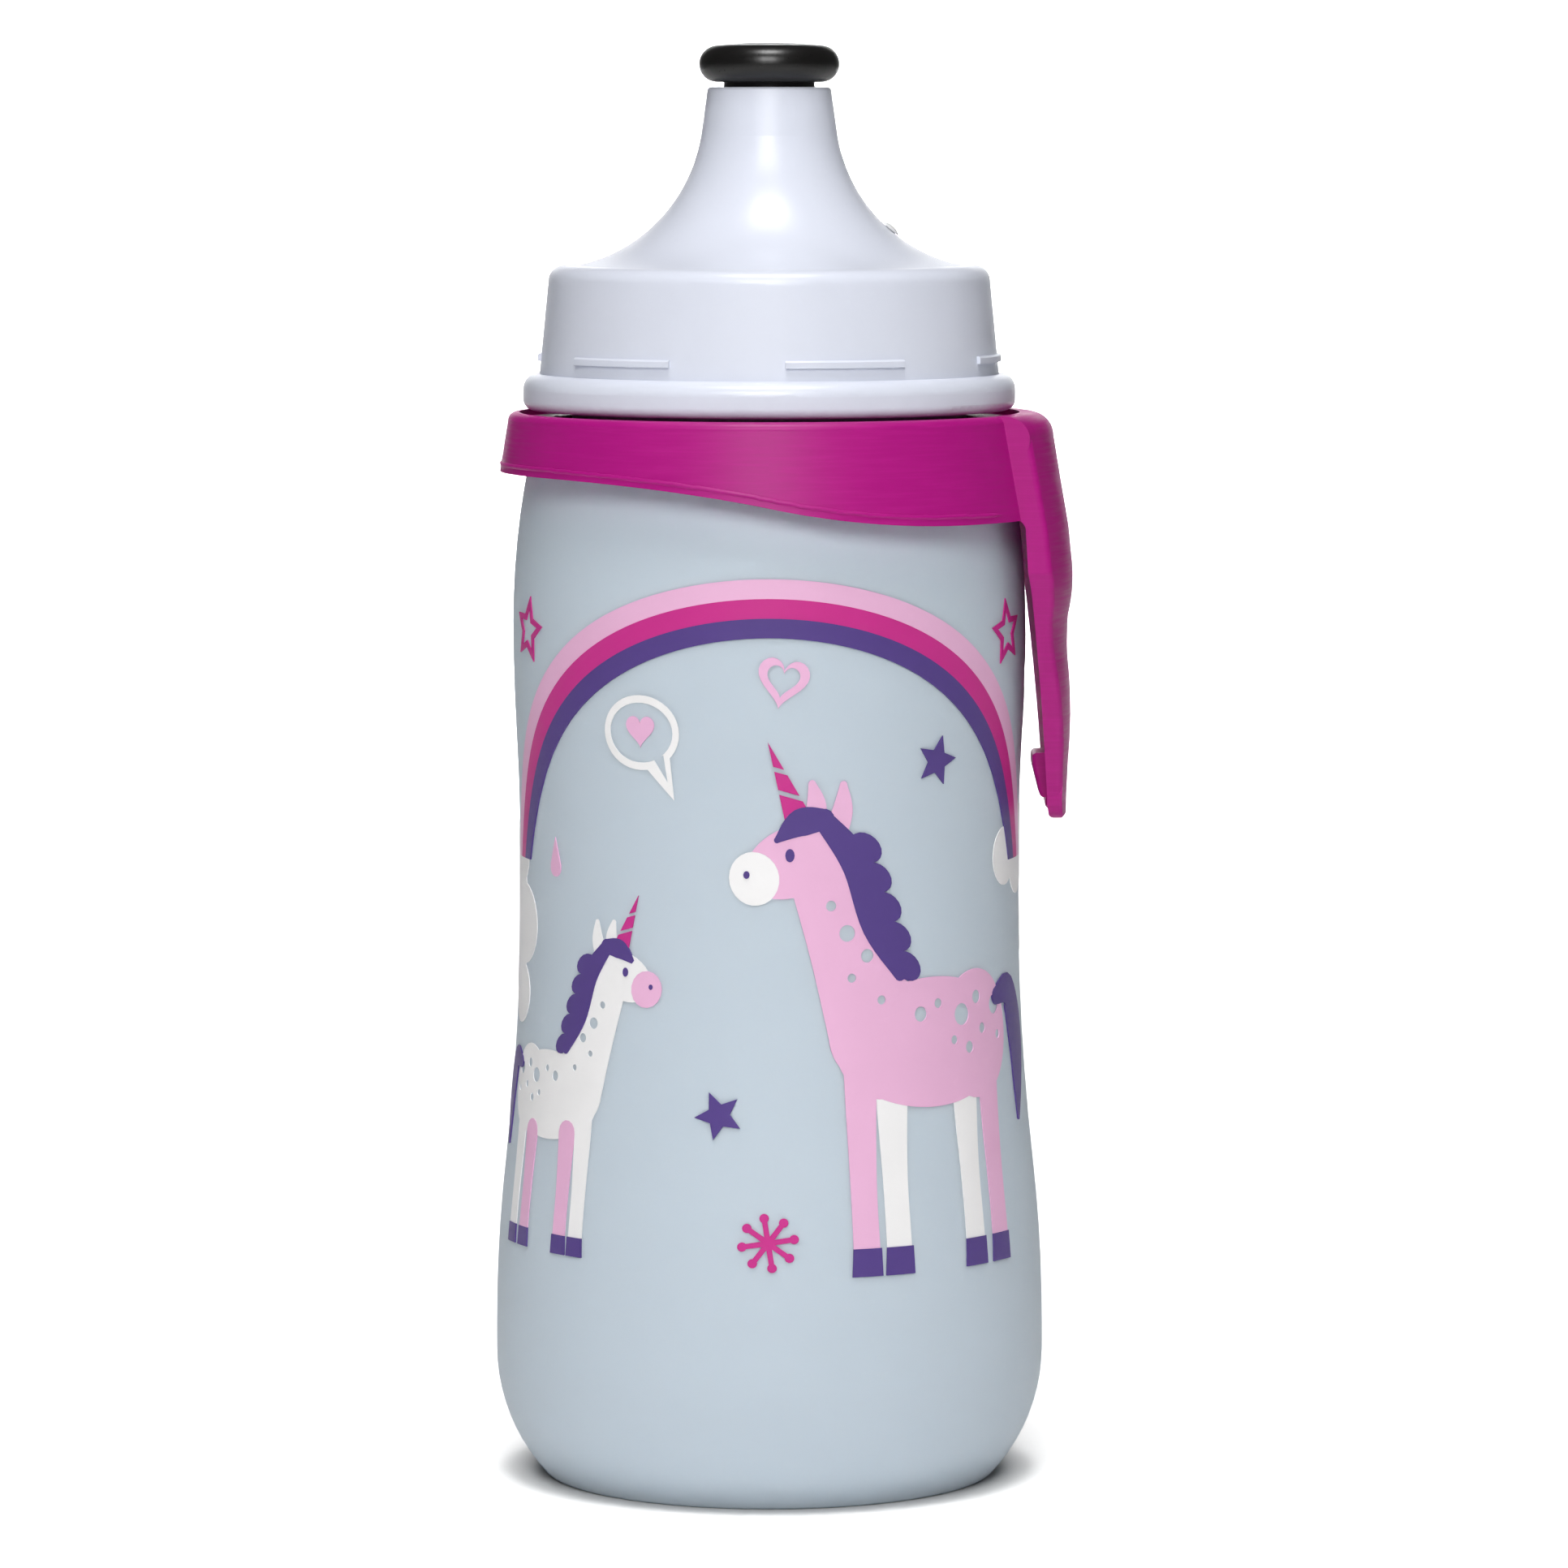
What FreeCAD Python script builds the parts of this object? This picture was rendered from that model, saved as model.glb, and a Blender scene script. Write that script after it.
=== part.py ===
import FreeCAD, Part
import os
import Sketcher

# Kids' push-pull drinking bottle. Millimetres; +Z is up, the origin is the centre of the
# foot on the bottle's axis, the printed front faces -Y and the carrying clip is on +X.
doc = FreeCAD.newDocument("kids_bottle")

# How near a measured place has to be to count as the one looked for.
NEAR = 1e-3


# ---------------------------------------------------------------- sizes
SIZES = [
    # bottle
    ("foot_radius", 27.6, "outer edge of the ring that it stands on"),
    ("foot_width", 3.8, "radial width of that ring"),
    ("foot_edge", 0.8, "rounding of the foot's outer edge"),
    ("pushup_height", 2.6, "hollow under the base, at the axis"),
    ("heel_height", 15.5, "foot to the start of the belly"),
    ("belly_radius", 33.8, "widest part of the bottle"),
    ("belly_height", 2.5, "straight band at the widest part"),
    ("taper_height", 54.0, "belly to waist"),
    ("taper_share", 0.39, "part of the taper that bulges, the rest is hollow"),
    ("waist_inset", 3.1, "waist radius below the belly radius"),
    ("waist_height", 5.0, "straight band at the waist"),
    ("swell_height", 28.5, "waist to chest"),
    ("chest_outset", 0.8, "chest radius above the waist radius"),
    ("shoulder_height", 19.3, "chest to the start of the shoulder's corner"),
    ("shoulder_curve", 97.0, "radius of the side above the chest"),
    ("shoulder_corner", 2.0, "rounding of the shoulder"),
    ("shoulder_width", 5.4, "side of the bottle to the wall of the neck"),
    ("neck_height", 17.4, "shoulder to the rim"),
    ("bottle_wall", 1.4, "wall of the bottle and of its neck"),
    ("shoulder_thin", 0.4, "how much thinner the wall is round the shoulder"),
    ("base_wall", 1.8, "wall of the base"),
    # screw thread, one start, right hand
    ("thread_lead", 6.0, "rise in one turn"),
    ("thread_turns", 1.25, "turns of each ridge"),
    ("thread_depth", 0.9, "height of a ridge"),
    ("thread_root", 2.4, "width of a ridge at its root"),
    ("thread_crest", 1.3, "width of a ridge at its top"),
    ("thread_bite", 0.3, "how far a ridge's root is sunk in its wall"),
    ("thread_drop", 9.7, "rim to the start of the neck's ridge"),
    ("thread_play", 0.4, "radial room between a ridge and the other wall"),
    # lid
    ("lid_wall", 1.6, "wall of the lid"),
    ("lid_gap", 2.7, "shoulder to the lid's lower edge"),
    ("skirt_flare", 1.1, "how much wider the skirt is at its lower end"),
    ("bead_height", 4.4, "rounded rim at the lid's lower edge"),
    ("bead_outset", 2.0, "how far that rim stands out"),
    ("bead_round_low", 1.2, "its lower rounding"),
    ("bead_round_top", 1.8, "its upper rounding"),
    ("lid_corner", 1.9, "rounding between the skirt and the lid's top"),
    ("flare_inset", 3.6, "edge of the lid to the foot of the spout's flare"),
    ("flare_foot_angle", 12.0, "slope of the flare at its foot, from level"),
    ("flare_head_angle", 9.4, "slope of the flare at its head, from upright"),
    ("spout_root_radius", 8.35, "spout where the flare ends"),
    ("spout_tip_radius", 7.6, "spout at its tip"),
    ("spout_length", 5.9, "straight part of the spout"),
    ("spout_round", 0.5, "rounding of the spout's tip"),
    ("rib_count", 6, "snap ribs round the skirt"),
    ("rib_span", 31.0, "angle that one rib covers"),
    ("rib_first", 19.5, "middle of the first rib, from the front towards +X"),
    ("rib_rise", 2.0, "top of the lid's lower rim to the middle of a rib"),
    ("rib_tall", 0.9, "height of a rib"),
    ("rib_out", 0.45, "how far a rib stands out"),
    ("rib_bevel", 0.2, "bevel on a rib's upper edge"),
    ("rib_bite", 0.3, "how far a rib is sunk in the skirt"),
    ("guide_radius", 5.65, "bore in which the drinking tube slides"),
    ("guide_wall", 1.5, "wall of that guide inside the flare"),
    ("gasket_thick", 1.2, "seal between the rim and the lid"),
    ("gasket_width", 3.6, "radial width of the seal"),
    ("seat_gap", 0.05, "play on each side of the seal"),
    ("gasket_inset", 0.3, "seat for the valve cage to the seal's bore"),
    ("cage_seat", 1.3, "depth of the seat for the valve cage"),
    ("cage_seat_wall", 1.8, "neck bore to that seat, radially"),
    # vent through the flare
    ("vent_angle", 41.0, "place of the vent on the flare, from upright"),
    ("vent_hole", 0.9, "radius of the vent's hole"),
    ("vent_head", 1.15, "radius of the valve's outer button"),
    ("vent_flap", 2.6, "radius of the valve's inner flap"),
    ("vent_head_thick", 0.6, "height of the outer button's crown above the wall"),
    ("vent_button_edge", 0.25, "height of its edge above the wall"),
    ("vent_button_lift", 0.08, "room under the button"),
    ("vent_flap_thick", 0.5, "thickness of the flap"),
    ("vent_flap_lip", 0.35, "thickness of the flap at its edge"),
    ("vent_stem_play", 0.1, "room round the valve's stem"),
    ("vent_lift", 0.25, "flap's room below the wall"),
    # drinking tube, mouthpiece and valve pin
    ("stroke", 5.0, "travel of the mouthpiece"),
    ("stop_play", 0.15, "room left at the upper stop"),
    ("slide_play", 0.07, "radial play of the tube in its guide"),
    ("tube_bore", 3.2, "radius of the tube's bore"),
    ("tube_collar", 6.4, "radius of its stop collar"),
    ("collar_thick", 1.2, "thickness of that collar"),
    ("collar_lift", 2.9, "lid's ceiling to the tube's lower end"),
    ("core_radius", 4.35, "tube inside the mouthpiece"),
    ("core_bead", 0.5, "bead that holds the mouthpiece"),
    ("core_bead_rise", 0.5, "underside of the head to that bead"),
    ("core_drop", 0.8, "upper end of the tube below the drinking hole's wall"),
    ("grip_play", 0.05, "room between tube and mouthpiece"),
    ("ring_section", 0.45, "section radius of the sliding seal"),
    ("ring_groove", 1.0, "half the width of its groove"),
    ("ring_depth", 0.93, "depth of its groove"),
    ("ring_drop", 10.95, "spout's tip to the sliding seal"),
    ("ring_play", 0.03, "radial room round the sliding seal"),
    ("head_gap", 0.6, "spout's tip to the mouthpiece's head"),
    ("head_thick", 4.8, "thickness of the head"),
    ("head_radius", 8.6, "radius of the head"),
    ("head_round", 2.3, "rounding of the head's edge"),
    ("head_crown", 0.3, "crown on the head's top"),
    ("skirt_reach", 7.7, "how far the mouthpiece reaches into the spout"),
    ("hole_radius", 2.25, "drinking hole"),
    ("hole_wall", 2.0, "thickness round the drinking hole"),
    ("hole_chamfer", 0.4, "bevel at its mouth"),
    ("pin_radius", 1.6, "valve pin's shank"),
    ("pin_play", 0.15, "room round the pin's tip in the hole"),
    ("pin_inset", 0.25, "pin's end below the top of the mouthpiece"),
    ("pin_tip", 2.4, "length of the tip"),
    ("pin_cone", 1.0, "length of the cone below the tip"),
    ("pin_bevel", 0.4, "bevel at the tip's end"),
    ("hub_radius", 3.0, "hub of the valve cage"),
    ("hub_height", 2.4, "height of that hub"),
    ("hub_cone", 0.6, "height of the cone on the hub"),
    ("cage_ring", 2.6, "radial width of the cage's ring"),
    ("cage_play", 0.05, "play of the cage in its seat"),
    ("arm_count", 3, "arms of the cage"),
    ("arm_width", 2.4, "width of an arm"),
    ("arm_bite", 0.4, "how far an arm is sunk in the hub and in the ring"),
    # carrying band
    ("band_tall", 12.6, "height of the band beside the clip"),
    ("band_short", 7.2, "height of the band opposite the clip"),
    ("band_lip", 2.4, "shoulder to the band's upper edge"),
    ("band_clear", 0.7, "room between the band and the bottle"),
    ("band_wall_top", 1.8, "wall of the band at its upper end"),
    ("band_wall_low", 2.6, "wall of the band at its lower end"),
    ("band_round", 1.0, "rounding of its upper edge"),
    ("band_lip_width", 0.4, "upper edge between its inner corner and the rounding"),
    ("band_recess", 0.8, "upper edge down to the inner flange"),
    ("flange_lift", 0.3, "shoulder to the inner flange"),
    ("flange_inset", 0.5, "flange's bore outside the thread"),
    ("wave_low_end", 24.0, "place along X where the lower edge reaches its lowest"),
    ("wave_high_end", 30.0, "place along -X where it reaches its highest"),
    ("wave_shift", 2.0, "place along X of the wave's turn, from midway"),
    ("cut_room", 5.0, "how far a cutting outline reaches past the piece"),
    # carrying clip, concentric with the bottle
    ("clip_top_half", 15.0, "half width at its upper end"),
    ("clip_narrow_at", 19.0, "upper end to where it starts to narrow"),
    ("clip_tip_half", 7.0, "half width at its lower end"),
    ("clip_tip_round", 3.0, "rounding of its lower corners"),
    ("clip_length", 49.6, "upper edge of the band to the clip's tip"),
    ("clip_out", 2.85, "outer face beyond the band's lower edge, at the hinge line"),
    ("clip_top_out", 0.95, "outer face beyond the band's lower edge, at the top"),
    ("clip_round", 2.8, "rounding at its top"),
    ("clip_thick", 2.3, "thickness of the arm at its root"),
    ("clip_edge", 0.9, "rounding of its outer edges"),
    ("clip_heel", 1.4, "bracket's foot to the line about which the arm flexes"),
    ("clip_turn", 64.0, "angle of the turned blank that the clip is trimmed from"),
    ("bracket_bite", 0.1, "how far the bracket's top is sunk in the band"),
    ("clip_bulge", 0.35, "first bulge of the outer face beyond its root"),
    ("clip_bulge_at", 0.1, "place of that bulge along the arm, as a share of its length"),
    ("clip_drift_at", 0.2, "place where the inner face has drifted, as such a share"),
    ("clip_dent_at", 0.3, "place along the arm where the hollow below it ends"),
    ("clip_swell", 0.1, "second bulge of the outer face beyond its root"),
    ("clip_swell_at", 0.5, "place of that bulge along the arm"),
    ("clip_flick_at", 0.82, "place along the arm where the tip's curve starts"),
    ("clip_bow_high", 20.0, "radius of the hollow below the first bulge"),
    ("clip_bow_mid", 31.0, "radius of the second bulge"),
    ("clip_bow_low", 66.0, "radius of the hollow towards the tip"),
    ("clip_tip_thick", 1.7, "thickness of the round lower end"),
    ("clip_tip_curve", 0.95, "radius of that end"),
    ("clip_tip_rise", 0.4, "height of the curve's ends above the tip"),
    ("clip_tip_sunk", 0.05, "inner face at that end, inside the arm's inner face"),
    ("clip_inner_drift", 0.4, "inner face's outward drift below its root"),
    ("knob_out", 2.6, "height of the catch on the arm's inner face"),
    ("knob_low_out", 1.6, "height of the catch at its lower end"),
    ("knob_tall", 5.5, "length of the catch"),
    ("knob_rise", 2.4, "tip to the catch's lower end"),
    ("knob_half", 3.6, "half width of the catch"),
    ("knob_slope", 1.5, "length of the flat at the catch's upper end"),
    ("knob_round", 0.6, "rounding of the catch"),
    ("knob_bite", 0.8, "how far the catch is sunk in the arm"),
    ("stub_tall", 1.1, "small step below the catch"),
    ("stub_out", 0.9, "height of that step"),
    ("stub_half", 1.8, "half width of that step"),
    ("stub_bite", 0.2, "how far that step is sunk in the catch"),
]

sheet = doc.addObject("Spreadsheet::Sheet", "sizes")
for row, (alias, value, note) in enumerate(SIZES, start=1):
    sheet.set("A%d" % row, alias)
    sheet.set("B%d" % row, str(value))
    sheet.set("C%d" % row, note)
    sheet.setAlias("B%d" % row, alias)
doc.recompute()

# Sizes that follow from those above.
places = doc.addObject("App::VarSet", "places")


def follow(name, formula):
    """A worked-out size, bound to the sheet and to earlier worked-out sizes."""
    places.addProperty("App::PropertyFloat", name, "Worked out")
    places.setExpression(name, formula)


# Bottle: radii and heights from the foot upwards.
follow("waist_radius", "sizes.belly_radius - sizes.waist_inset")
follow("chest_radius", "places.waist_radius + sizes.chest_outset")
follow("belly_top", "sizes.heel_height + sizes.belly_height")
follow("waist_low", "places.belly_top + sizes.taper_height")
follow("waist_top", "places.waist_low + sizes.waist_height")
follow("chest_z", "places.waist_top + sizes.swell_height")
follow("side_top", "places.chest_z + sizes.shoulder_height")
follow("ledge_z", "places.side_top + 2 * sizes.shoulder_corner")
follow("rim_z", "places.ledge_z + sizes.neck_height")
follow("heel_drop", "sizes.belly_radius - sizes.foot_radius")
follow("heel_curve", "(places.heel_drop ^ 2 + sizes.heel_height ^ 2) / (2 * places.heel_drop)")
follow("taper_sum", "(sizes.taper_height ^ 2 + sizes.waist_inset ^ 2) / (2 * sizes.waist_inset)")
follow("taper_low_curve", "places.taper_sum * sizes.taper_share")
follow("taper_high_curve", "places.taper_sum * (1 - sizes.taper_share)")
follow("taper_mid_z", "places.belly_top + sizes.taper_height * sizes.taper_share")
follow("taper_mid_radius", "sizes.belly_radius - sizes.waist_inset * sizes.taper_share")
follow("swell_curve", "(sizes.swell_height ^ 2 + sizes.chest_outset ^ 2) / (4 * sizes.chest_outset)")
follow("swell_mid_z", "places.waist_top + sizes.swell_height / 2")
follow("swell_mid_radius", "places.waist_radius + sizes.chest_outset / 2")
follow("side_fall", "sizes.shoulder_curve - sqrt(sizes.shoulder_curve ^ 2 - sizes.shoulder_height ^ 2)")
follow("side_radius", "places.chest_radius - places.side_fall")
follow("pushup_radius", "sizes.foot_radius - sizes.foot_width")
follow("pushup_curve",
       "(places.pushup_radius ^ 2 + sizes.pushup_height ^ 2) / (2 * sizes.pushup_height)")
follow("neck_radius", "places.side_radius - sizes.shoulder_width")
follow("neck_bore", "places.neck_radius - sizes.bottle_wall")
follow("ledge_edge", "places.side_radius - sizes.shoulder_corner")
follow("floor_z", "sizes.pushup_height + sizes.base_wall")
follow("cavity_heel_height", "sizes.heel_height - places.floor_z")
follow("cavity_radius", "sizes.belly_radius - sizes.bottle_wall")
follow("cavity_foot", "sizes.foot_radius - sizes.bottle_wall")
follow("cavity_heel_drop", "places.cavity_radius - places.cavity_foot")
follow("cavity_heel_curve", "(places.cavity_heel_drop ^ 2 + places.cavity_heel_height ^ 2)"
       " / (2 * places.cavity_heel_drop)")
follow("cavity_side", "places.side_radius - sizes.bottle_wall")
follow("cavity_ledge_z", "places.ledge_z - sizes.bottle_wall")
follow("cavity_corner", "sizes.shoulder_corner - sizes.bottle_wall + sizes.shoulder_thin")
# Thread.
follow("ridge_radius", "places.neck_radius + sizes.thread_depth")
follow("bore_radius", "places.ridge_radius + sizes.thread_play")
follow("neck_ridge_z", "places.rim_z - sizes.thread_drop")
follow("lid_ridge_z", "places.neck_ridge_z - sizes.thread_lead / 2")
# Lid.
follow("lid_low", "places.ledge_z + sizes.lid_gap")
follow("bead_top", "places.lid_low + sizes.bead_height")
follow("ceiling_z", "places.rim_z + sizes.gasket_thick + 2 * sizes.seat_gap")
follow("lid_top", "places.ceiling_z + sizes.lid_wall")
follow("skirt_radius", "places.bore_radius + sizes.lid_wall")
follow("skirt_low_radius", "places.skirt_radius + sizes.skirt_flare")
follow("bead_radius", "places.skirt_low_radius + sizes.bead_outset")
follow("flare_foot", "places.skirt_radius - sizes.flare_inset")
follow("flare_curve", "(places.flare_foot - sizes.spout_root_radius)"
       " / (cos(sizes.flare_head_angle) - sin(sizes.flare_foot_angle))")
follow("flare_x", "sizes.spout_root_radius + places.flare_curve * cos(sizes.flare_head_angle)")
follow("flare_z", "places.lid_top + places.flare_curve * cos(sizes.flare_foot_angle)")
follow("spout_root_z", "places.flare_z - places.flare_curve * sin(sizes.flare_head_angle)")
follow("spout_top", "places.spout_root_z + sizes.spout_length")
follow("inner_curve", "places.flare_curve + sizes.lid_wall")
follow("guide_outer", "sizes.guide_radius + sizes.guide_wall")
follow("guide_join_z",
       "places.flare_z - sqrt(places.inner_curve ^ 2 - (places.flare_x - places.guide_outer) ^ 2)")
follow("cage_seat_z", "places.ceiling_z + sizes.cage_seat")
follow("cage_seat_radius", "places.neck_bore - sizes.cage_seat_wall")
follow("inner_foot", "places.flare_x - sqrt(places.inner_curve ^ 2 - (places.flare_z"
       " - places.cage_seat_z) ^ 2)")
follow("rib_z", "places.bead_top + sizes.rib_rise")
follow("rib_low", "places.rib_z - sizes.rib_tall / 2")
follow("rib_high", "places.rib_z + sizes.rib_tall / 2")
follow("skirt_slope", "sizes.skirt_flare / (places.lid_top - sizes.lid_corner - places.bead_top)")
follow("rib_root", "places.skirt_radius - sizes.rib_bite")
follow("rib_face", "places.skirt_low_radius - places.skirt_slope * sizes.rib_rise + sizes.rib_out")
follow("gasket_inner", "places.cage_seat_radius + sizes.gasket_inset")
# Vent valve: rise and curve of its button's crown.
follow("button_rise", "sizes.vent_head_thick - sizes.vent_button_edge")
follow("button_curve",
       "(sizes.vent_head ^ 2 + places.button_rise ^ 2) / (2 * places.button_rise)")
# Drinking tube and mouthpiece.
follow("tube_low", "places.ceiling_z + sizes.collar_lift")
follow("collar_top", "places.tube_low + sizes.collar_thick")
follow("guide_low", "places.collar_top + sizes.stroke + sizes.stop_play")
follow("tube_radius", "sizes.guide_radius - sizes.slide_play")
follow("ring_z", "places.spout_top - sizes.ring_drop")
follow("ring_radius", "sizes.guide_radius - sizes.ring_play - sizes.ring_section")
follow("grip_low", "places.spout_top - sizes.skirt_reach")
follow("head_low", "places.spout_top + sizes.head_gap")
follow("head_top", "places.head_low + sizes.head_thick")
follow("head_mid", "places.head_top - sizes.head_crown - sizes.head_round")
follow("hole_low", "places.head_top - sizes.hole_wall")
follow("core_top", "places.hole_low - sizes.core_drop")
follow("core_bead_z", "places.head_low + sizes.core_bead_rise")
follow("pin_top", "places.head_top - sizes.pin_inset")
follow("pin_tip_radius", "sizes.hole_radius - sizes.pin_play")
# Band and clip.
follow("band_top", "places.ledge_z + sizes.band_lip")
follow("band_low", "places.band_top - sizes.band_tall")
follow("band_bore_top", "places.side_radius + sizes.band_clear")
follow("body_at_band_low", "places.chest_radius - sizes.shoulder_curve"
       " + sqrt(sizes.shoulder_curve ^ 2 - (places.band_low - places.chest_z) ^ 2)")
follow("band_bore_low", "places.body_at_band_low + sizes.band_clear")
follow("band_out_top", "places.band_bore_top + sizes.band_wall_top")
follow("band_out_low", "places.band_bore_low + sizes.band_wall_low")
follow("band_rim", "places.band_out_top - sizes.band_round")
follow("flange_bore", "places.ridge_radius + sizes.flange_inset")
follow("flange_low", "places.ledge_z + sizes.flange_lift")
follow("flange_top", "places.band_top - sizes.band_recess")
follow("wave_mid_x", "(sizes.wave_low_end - sizes.wave_high_end) / 2 + sizes.wave_shift")
follow("wave_high_z", "places.band_top - sizes.band_short")
follow("wave_mid_z", "(places.wave_high_z + places.band_low) / 2")
follow("wave_high_run", "sizes.wave_high_end + places.wave_mid_x")
follow("wave_low_run", "sizes.wave_low_end - places.wave_mid_x")
follow("wave_fall", "places.wave_high_z - places.wave_mid_z")
follow("wave_high_curve",
       "(places.wave_high_run ^ 2 + places.wave_fall ^ 2) / (2 * places.wave_fall)")
follow("wave_low_curve",
       "(places.wave_low_run ^ 2 + places.wave_fall ^ 2) / (2 * places.wave_fall)")
follow("flex_z", "places.band_low - sizes.clip_heel")
follow("flex_radius", "places.band_out_low + sizes.clip_out")
follow("flex_inner", "places.flex_radius - sizes.clip_thick")
follow("clip_head", "places.band_out_low + sizes.clip_top_out")
follow("clip_tip", "places.band_top - sizes.clip_length")
follow("arm_length", "places.flex_z - places.clip_tip")
follow("arm_inner", "places.flex_inner + sizes.clip_inner_drift")
follow("knob_low", "places.clip_tip + sizes.knob_rise")
follow("knob_top", "places.knob_low + sizes.knob_tall")
doc.recompute()


# ---------------------------------------------------------------- drawing helpers
def plane_of(body, role):
    """One of the body's own origin planes."""
    for feature in body.Origin.OriginFeatures:
        if feature.Role == role:
            return feature
    raise ValueError("no plane " + role)


def new_body(label):
    """An empty body for one piece."""
    body = doc.addObject("PartDesign::Body", label + "_body")
    body.Label = label + " body"
    return body


def new_sketch(body, name, role="XZ_Plane", turn=None):
    """A sketch on one of the body's origin planes, turned about the upright if asked."""
    sketch = body.newObject("Sketcher::SketchObject", name)
    sketch.AttachmentSupport = [(plane_of(body, role), "")]
    sketch.MapMode = "FlatFace"
    if turn is not None:
        upright = FreeCAD.Vector(0, 1, 0)
        sketch.AttachmentOffset = FreeCAD.Placement(FreeCAD.Vector(), FreeCAD.Rotation(upright, 0))
        sketch.setExpression("AttachmentOffset.Rotation.Angle", turn)
    return sketch


def measure(formula):
    """The present value of a formula."""
    value = places.evalExpression(formula)
    return float(getattr(value, "Value", value))


def pin_point(sketch, edge, end, across, up):
    """Ties one end of a sketch's edge to its two formulas."""
    for kind, axis, formula in (("DistanceX", -2, across), ("DistanceY", -1, up)):
        value = measure(formula)
        if abs(value) < 1e-9:
            sketch.addConstraint(Sketcher.Constraint("PointOnObject", edge, end, axis))
            continue
        if value > 0:
            made = sketch.addConstraint(Sketcher.Constraint(kind, -1, 1, edge, end, value))
            sketch.setExpression("Constraints[%d]" % made, formula)
        else:
            made = sketch.addConstraint(Sketcher.Constraint(kind, edge, end, -1, 1, -value))
            sketch.setExpression("Constraints[%d]" % made, "-(%s)" % formula)


def outline(sketch, corners):
    """A closed outline, one corner after the other.

    A corner is (across, up) for a straight edge to the next corner, or (across, up,
    radius, side) for an arc whose centre is to the left (+1) or right (-1) of the way.
    """
    spots = [FreeCAD.Vector(measure(c[0]), measure(c[1]), 0) for c in corners]
    edges = []
    for place, corner in enumerate(corners):
        start = spots[place]
        end = spots[(place + 1) % len(spots)]
        if len(corner) == 2:
            edges.append((sketch.addGeometry(Part.LineSegment(start, end)), 1, 2))
            continue
        radius, side = measure(corner[2]), corner[3]
        half = (end - start) * 0.5
        left = FreeCAD.Vector(-half.y, half.x, 0).normalize()
        reach = max(radius ** 2 - half.Length ** 2, 0) ** 0.5
        centre = start + half + left * (side * reach)
        middle = centre - left * (side * radius)
        arc = Part.Arc(start, middle, end)
        edge = sketch.addGeometry(arc)
        # Sketch arcs run anticlockwise, so the ends swap when the centre is on the right.
        first, last = (1, 2) if side > 0 else (2, 1)
        edges.append((edge, first, last))
    for place, (edge, first, last) in enumerate(edges):
        after, after_first, _ = edges[(place + 1) % len(edges)]
        sketch.addConstraint(Sketcher.Constraint("Coincident", edge, last, after, after_first))
        pin_point(sketch, edge, first, corners[place][0], corners[place][1])
        if len(corners[place]) == 4:
            radius = measure(corners[place][2])
            made = sketch.addConstraint(Sketcher.Constraint("Radius", edge, radius))
            sketch.setExpression("Constraints[%d]" % made, corners[place][2])


def revolve(body, name, sketch, angle="360"):
    """The sketch turned about the upright axis, half to each side of its plane."""
    turned = body.newObject("PartDesign::Revolution", name)
    turned.Profile = sketch
    turned.ReferenceAxis = (sketch, ["V_Axis"])
    turned.Midplane = angle != "360"
    turned.setExpression("Angle", angle)
    return turned


def ridge(body, name, inner, outer, low):
    """A screw thread's ridge: a trapezium swept along a helix about the upright axis."""
    sketch = new_sketch(body, name + "_section")
    outline(sketch, [
        (inner, low + " - sizes.thread_root / 2"),
        (outer, low + " - sizes.thread_crest / 2"),
        (outer, low + " + sizes.thread_crest / 2"),
        (inner, low + " + sizes.thread_root / 2"),
    ])
    doc.recompute()
    helix = body.newObject("PartDesign::AdditiveHelix", name)
    helix.Profile = sketch
    helix.ReferenceAxis = (sketch, ["V_Axis"])
    helix.Mode = "pitch-turns-angle"
    helix.setExpression("Pitch", "sizes.thread_lead")
    helix.setExpression("Turns", "sizes.thread_turns")
    return helix


def bind(thing, **formulas):
    """Binds a feature's sizes to formulas."""
    for name, formula in formulas.items():
        thing.setExpression(name.replace("__", "."), formula)


PARTS = {}


def keep(node, thing):
    """Names a finished piece."""
    thing.Label = node
    PARTS[node] = thing


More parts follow.
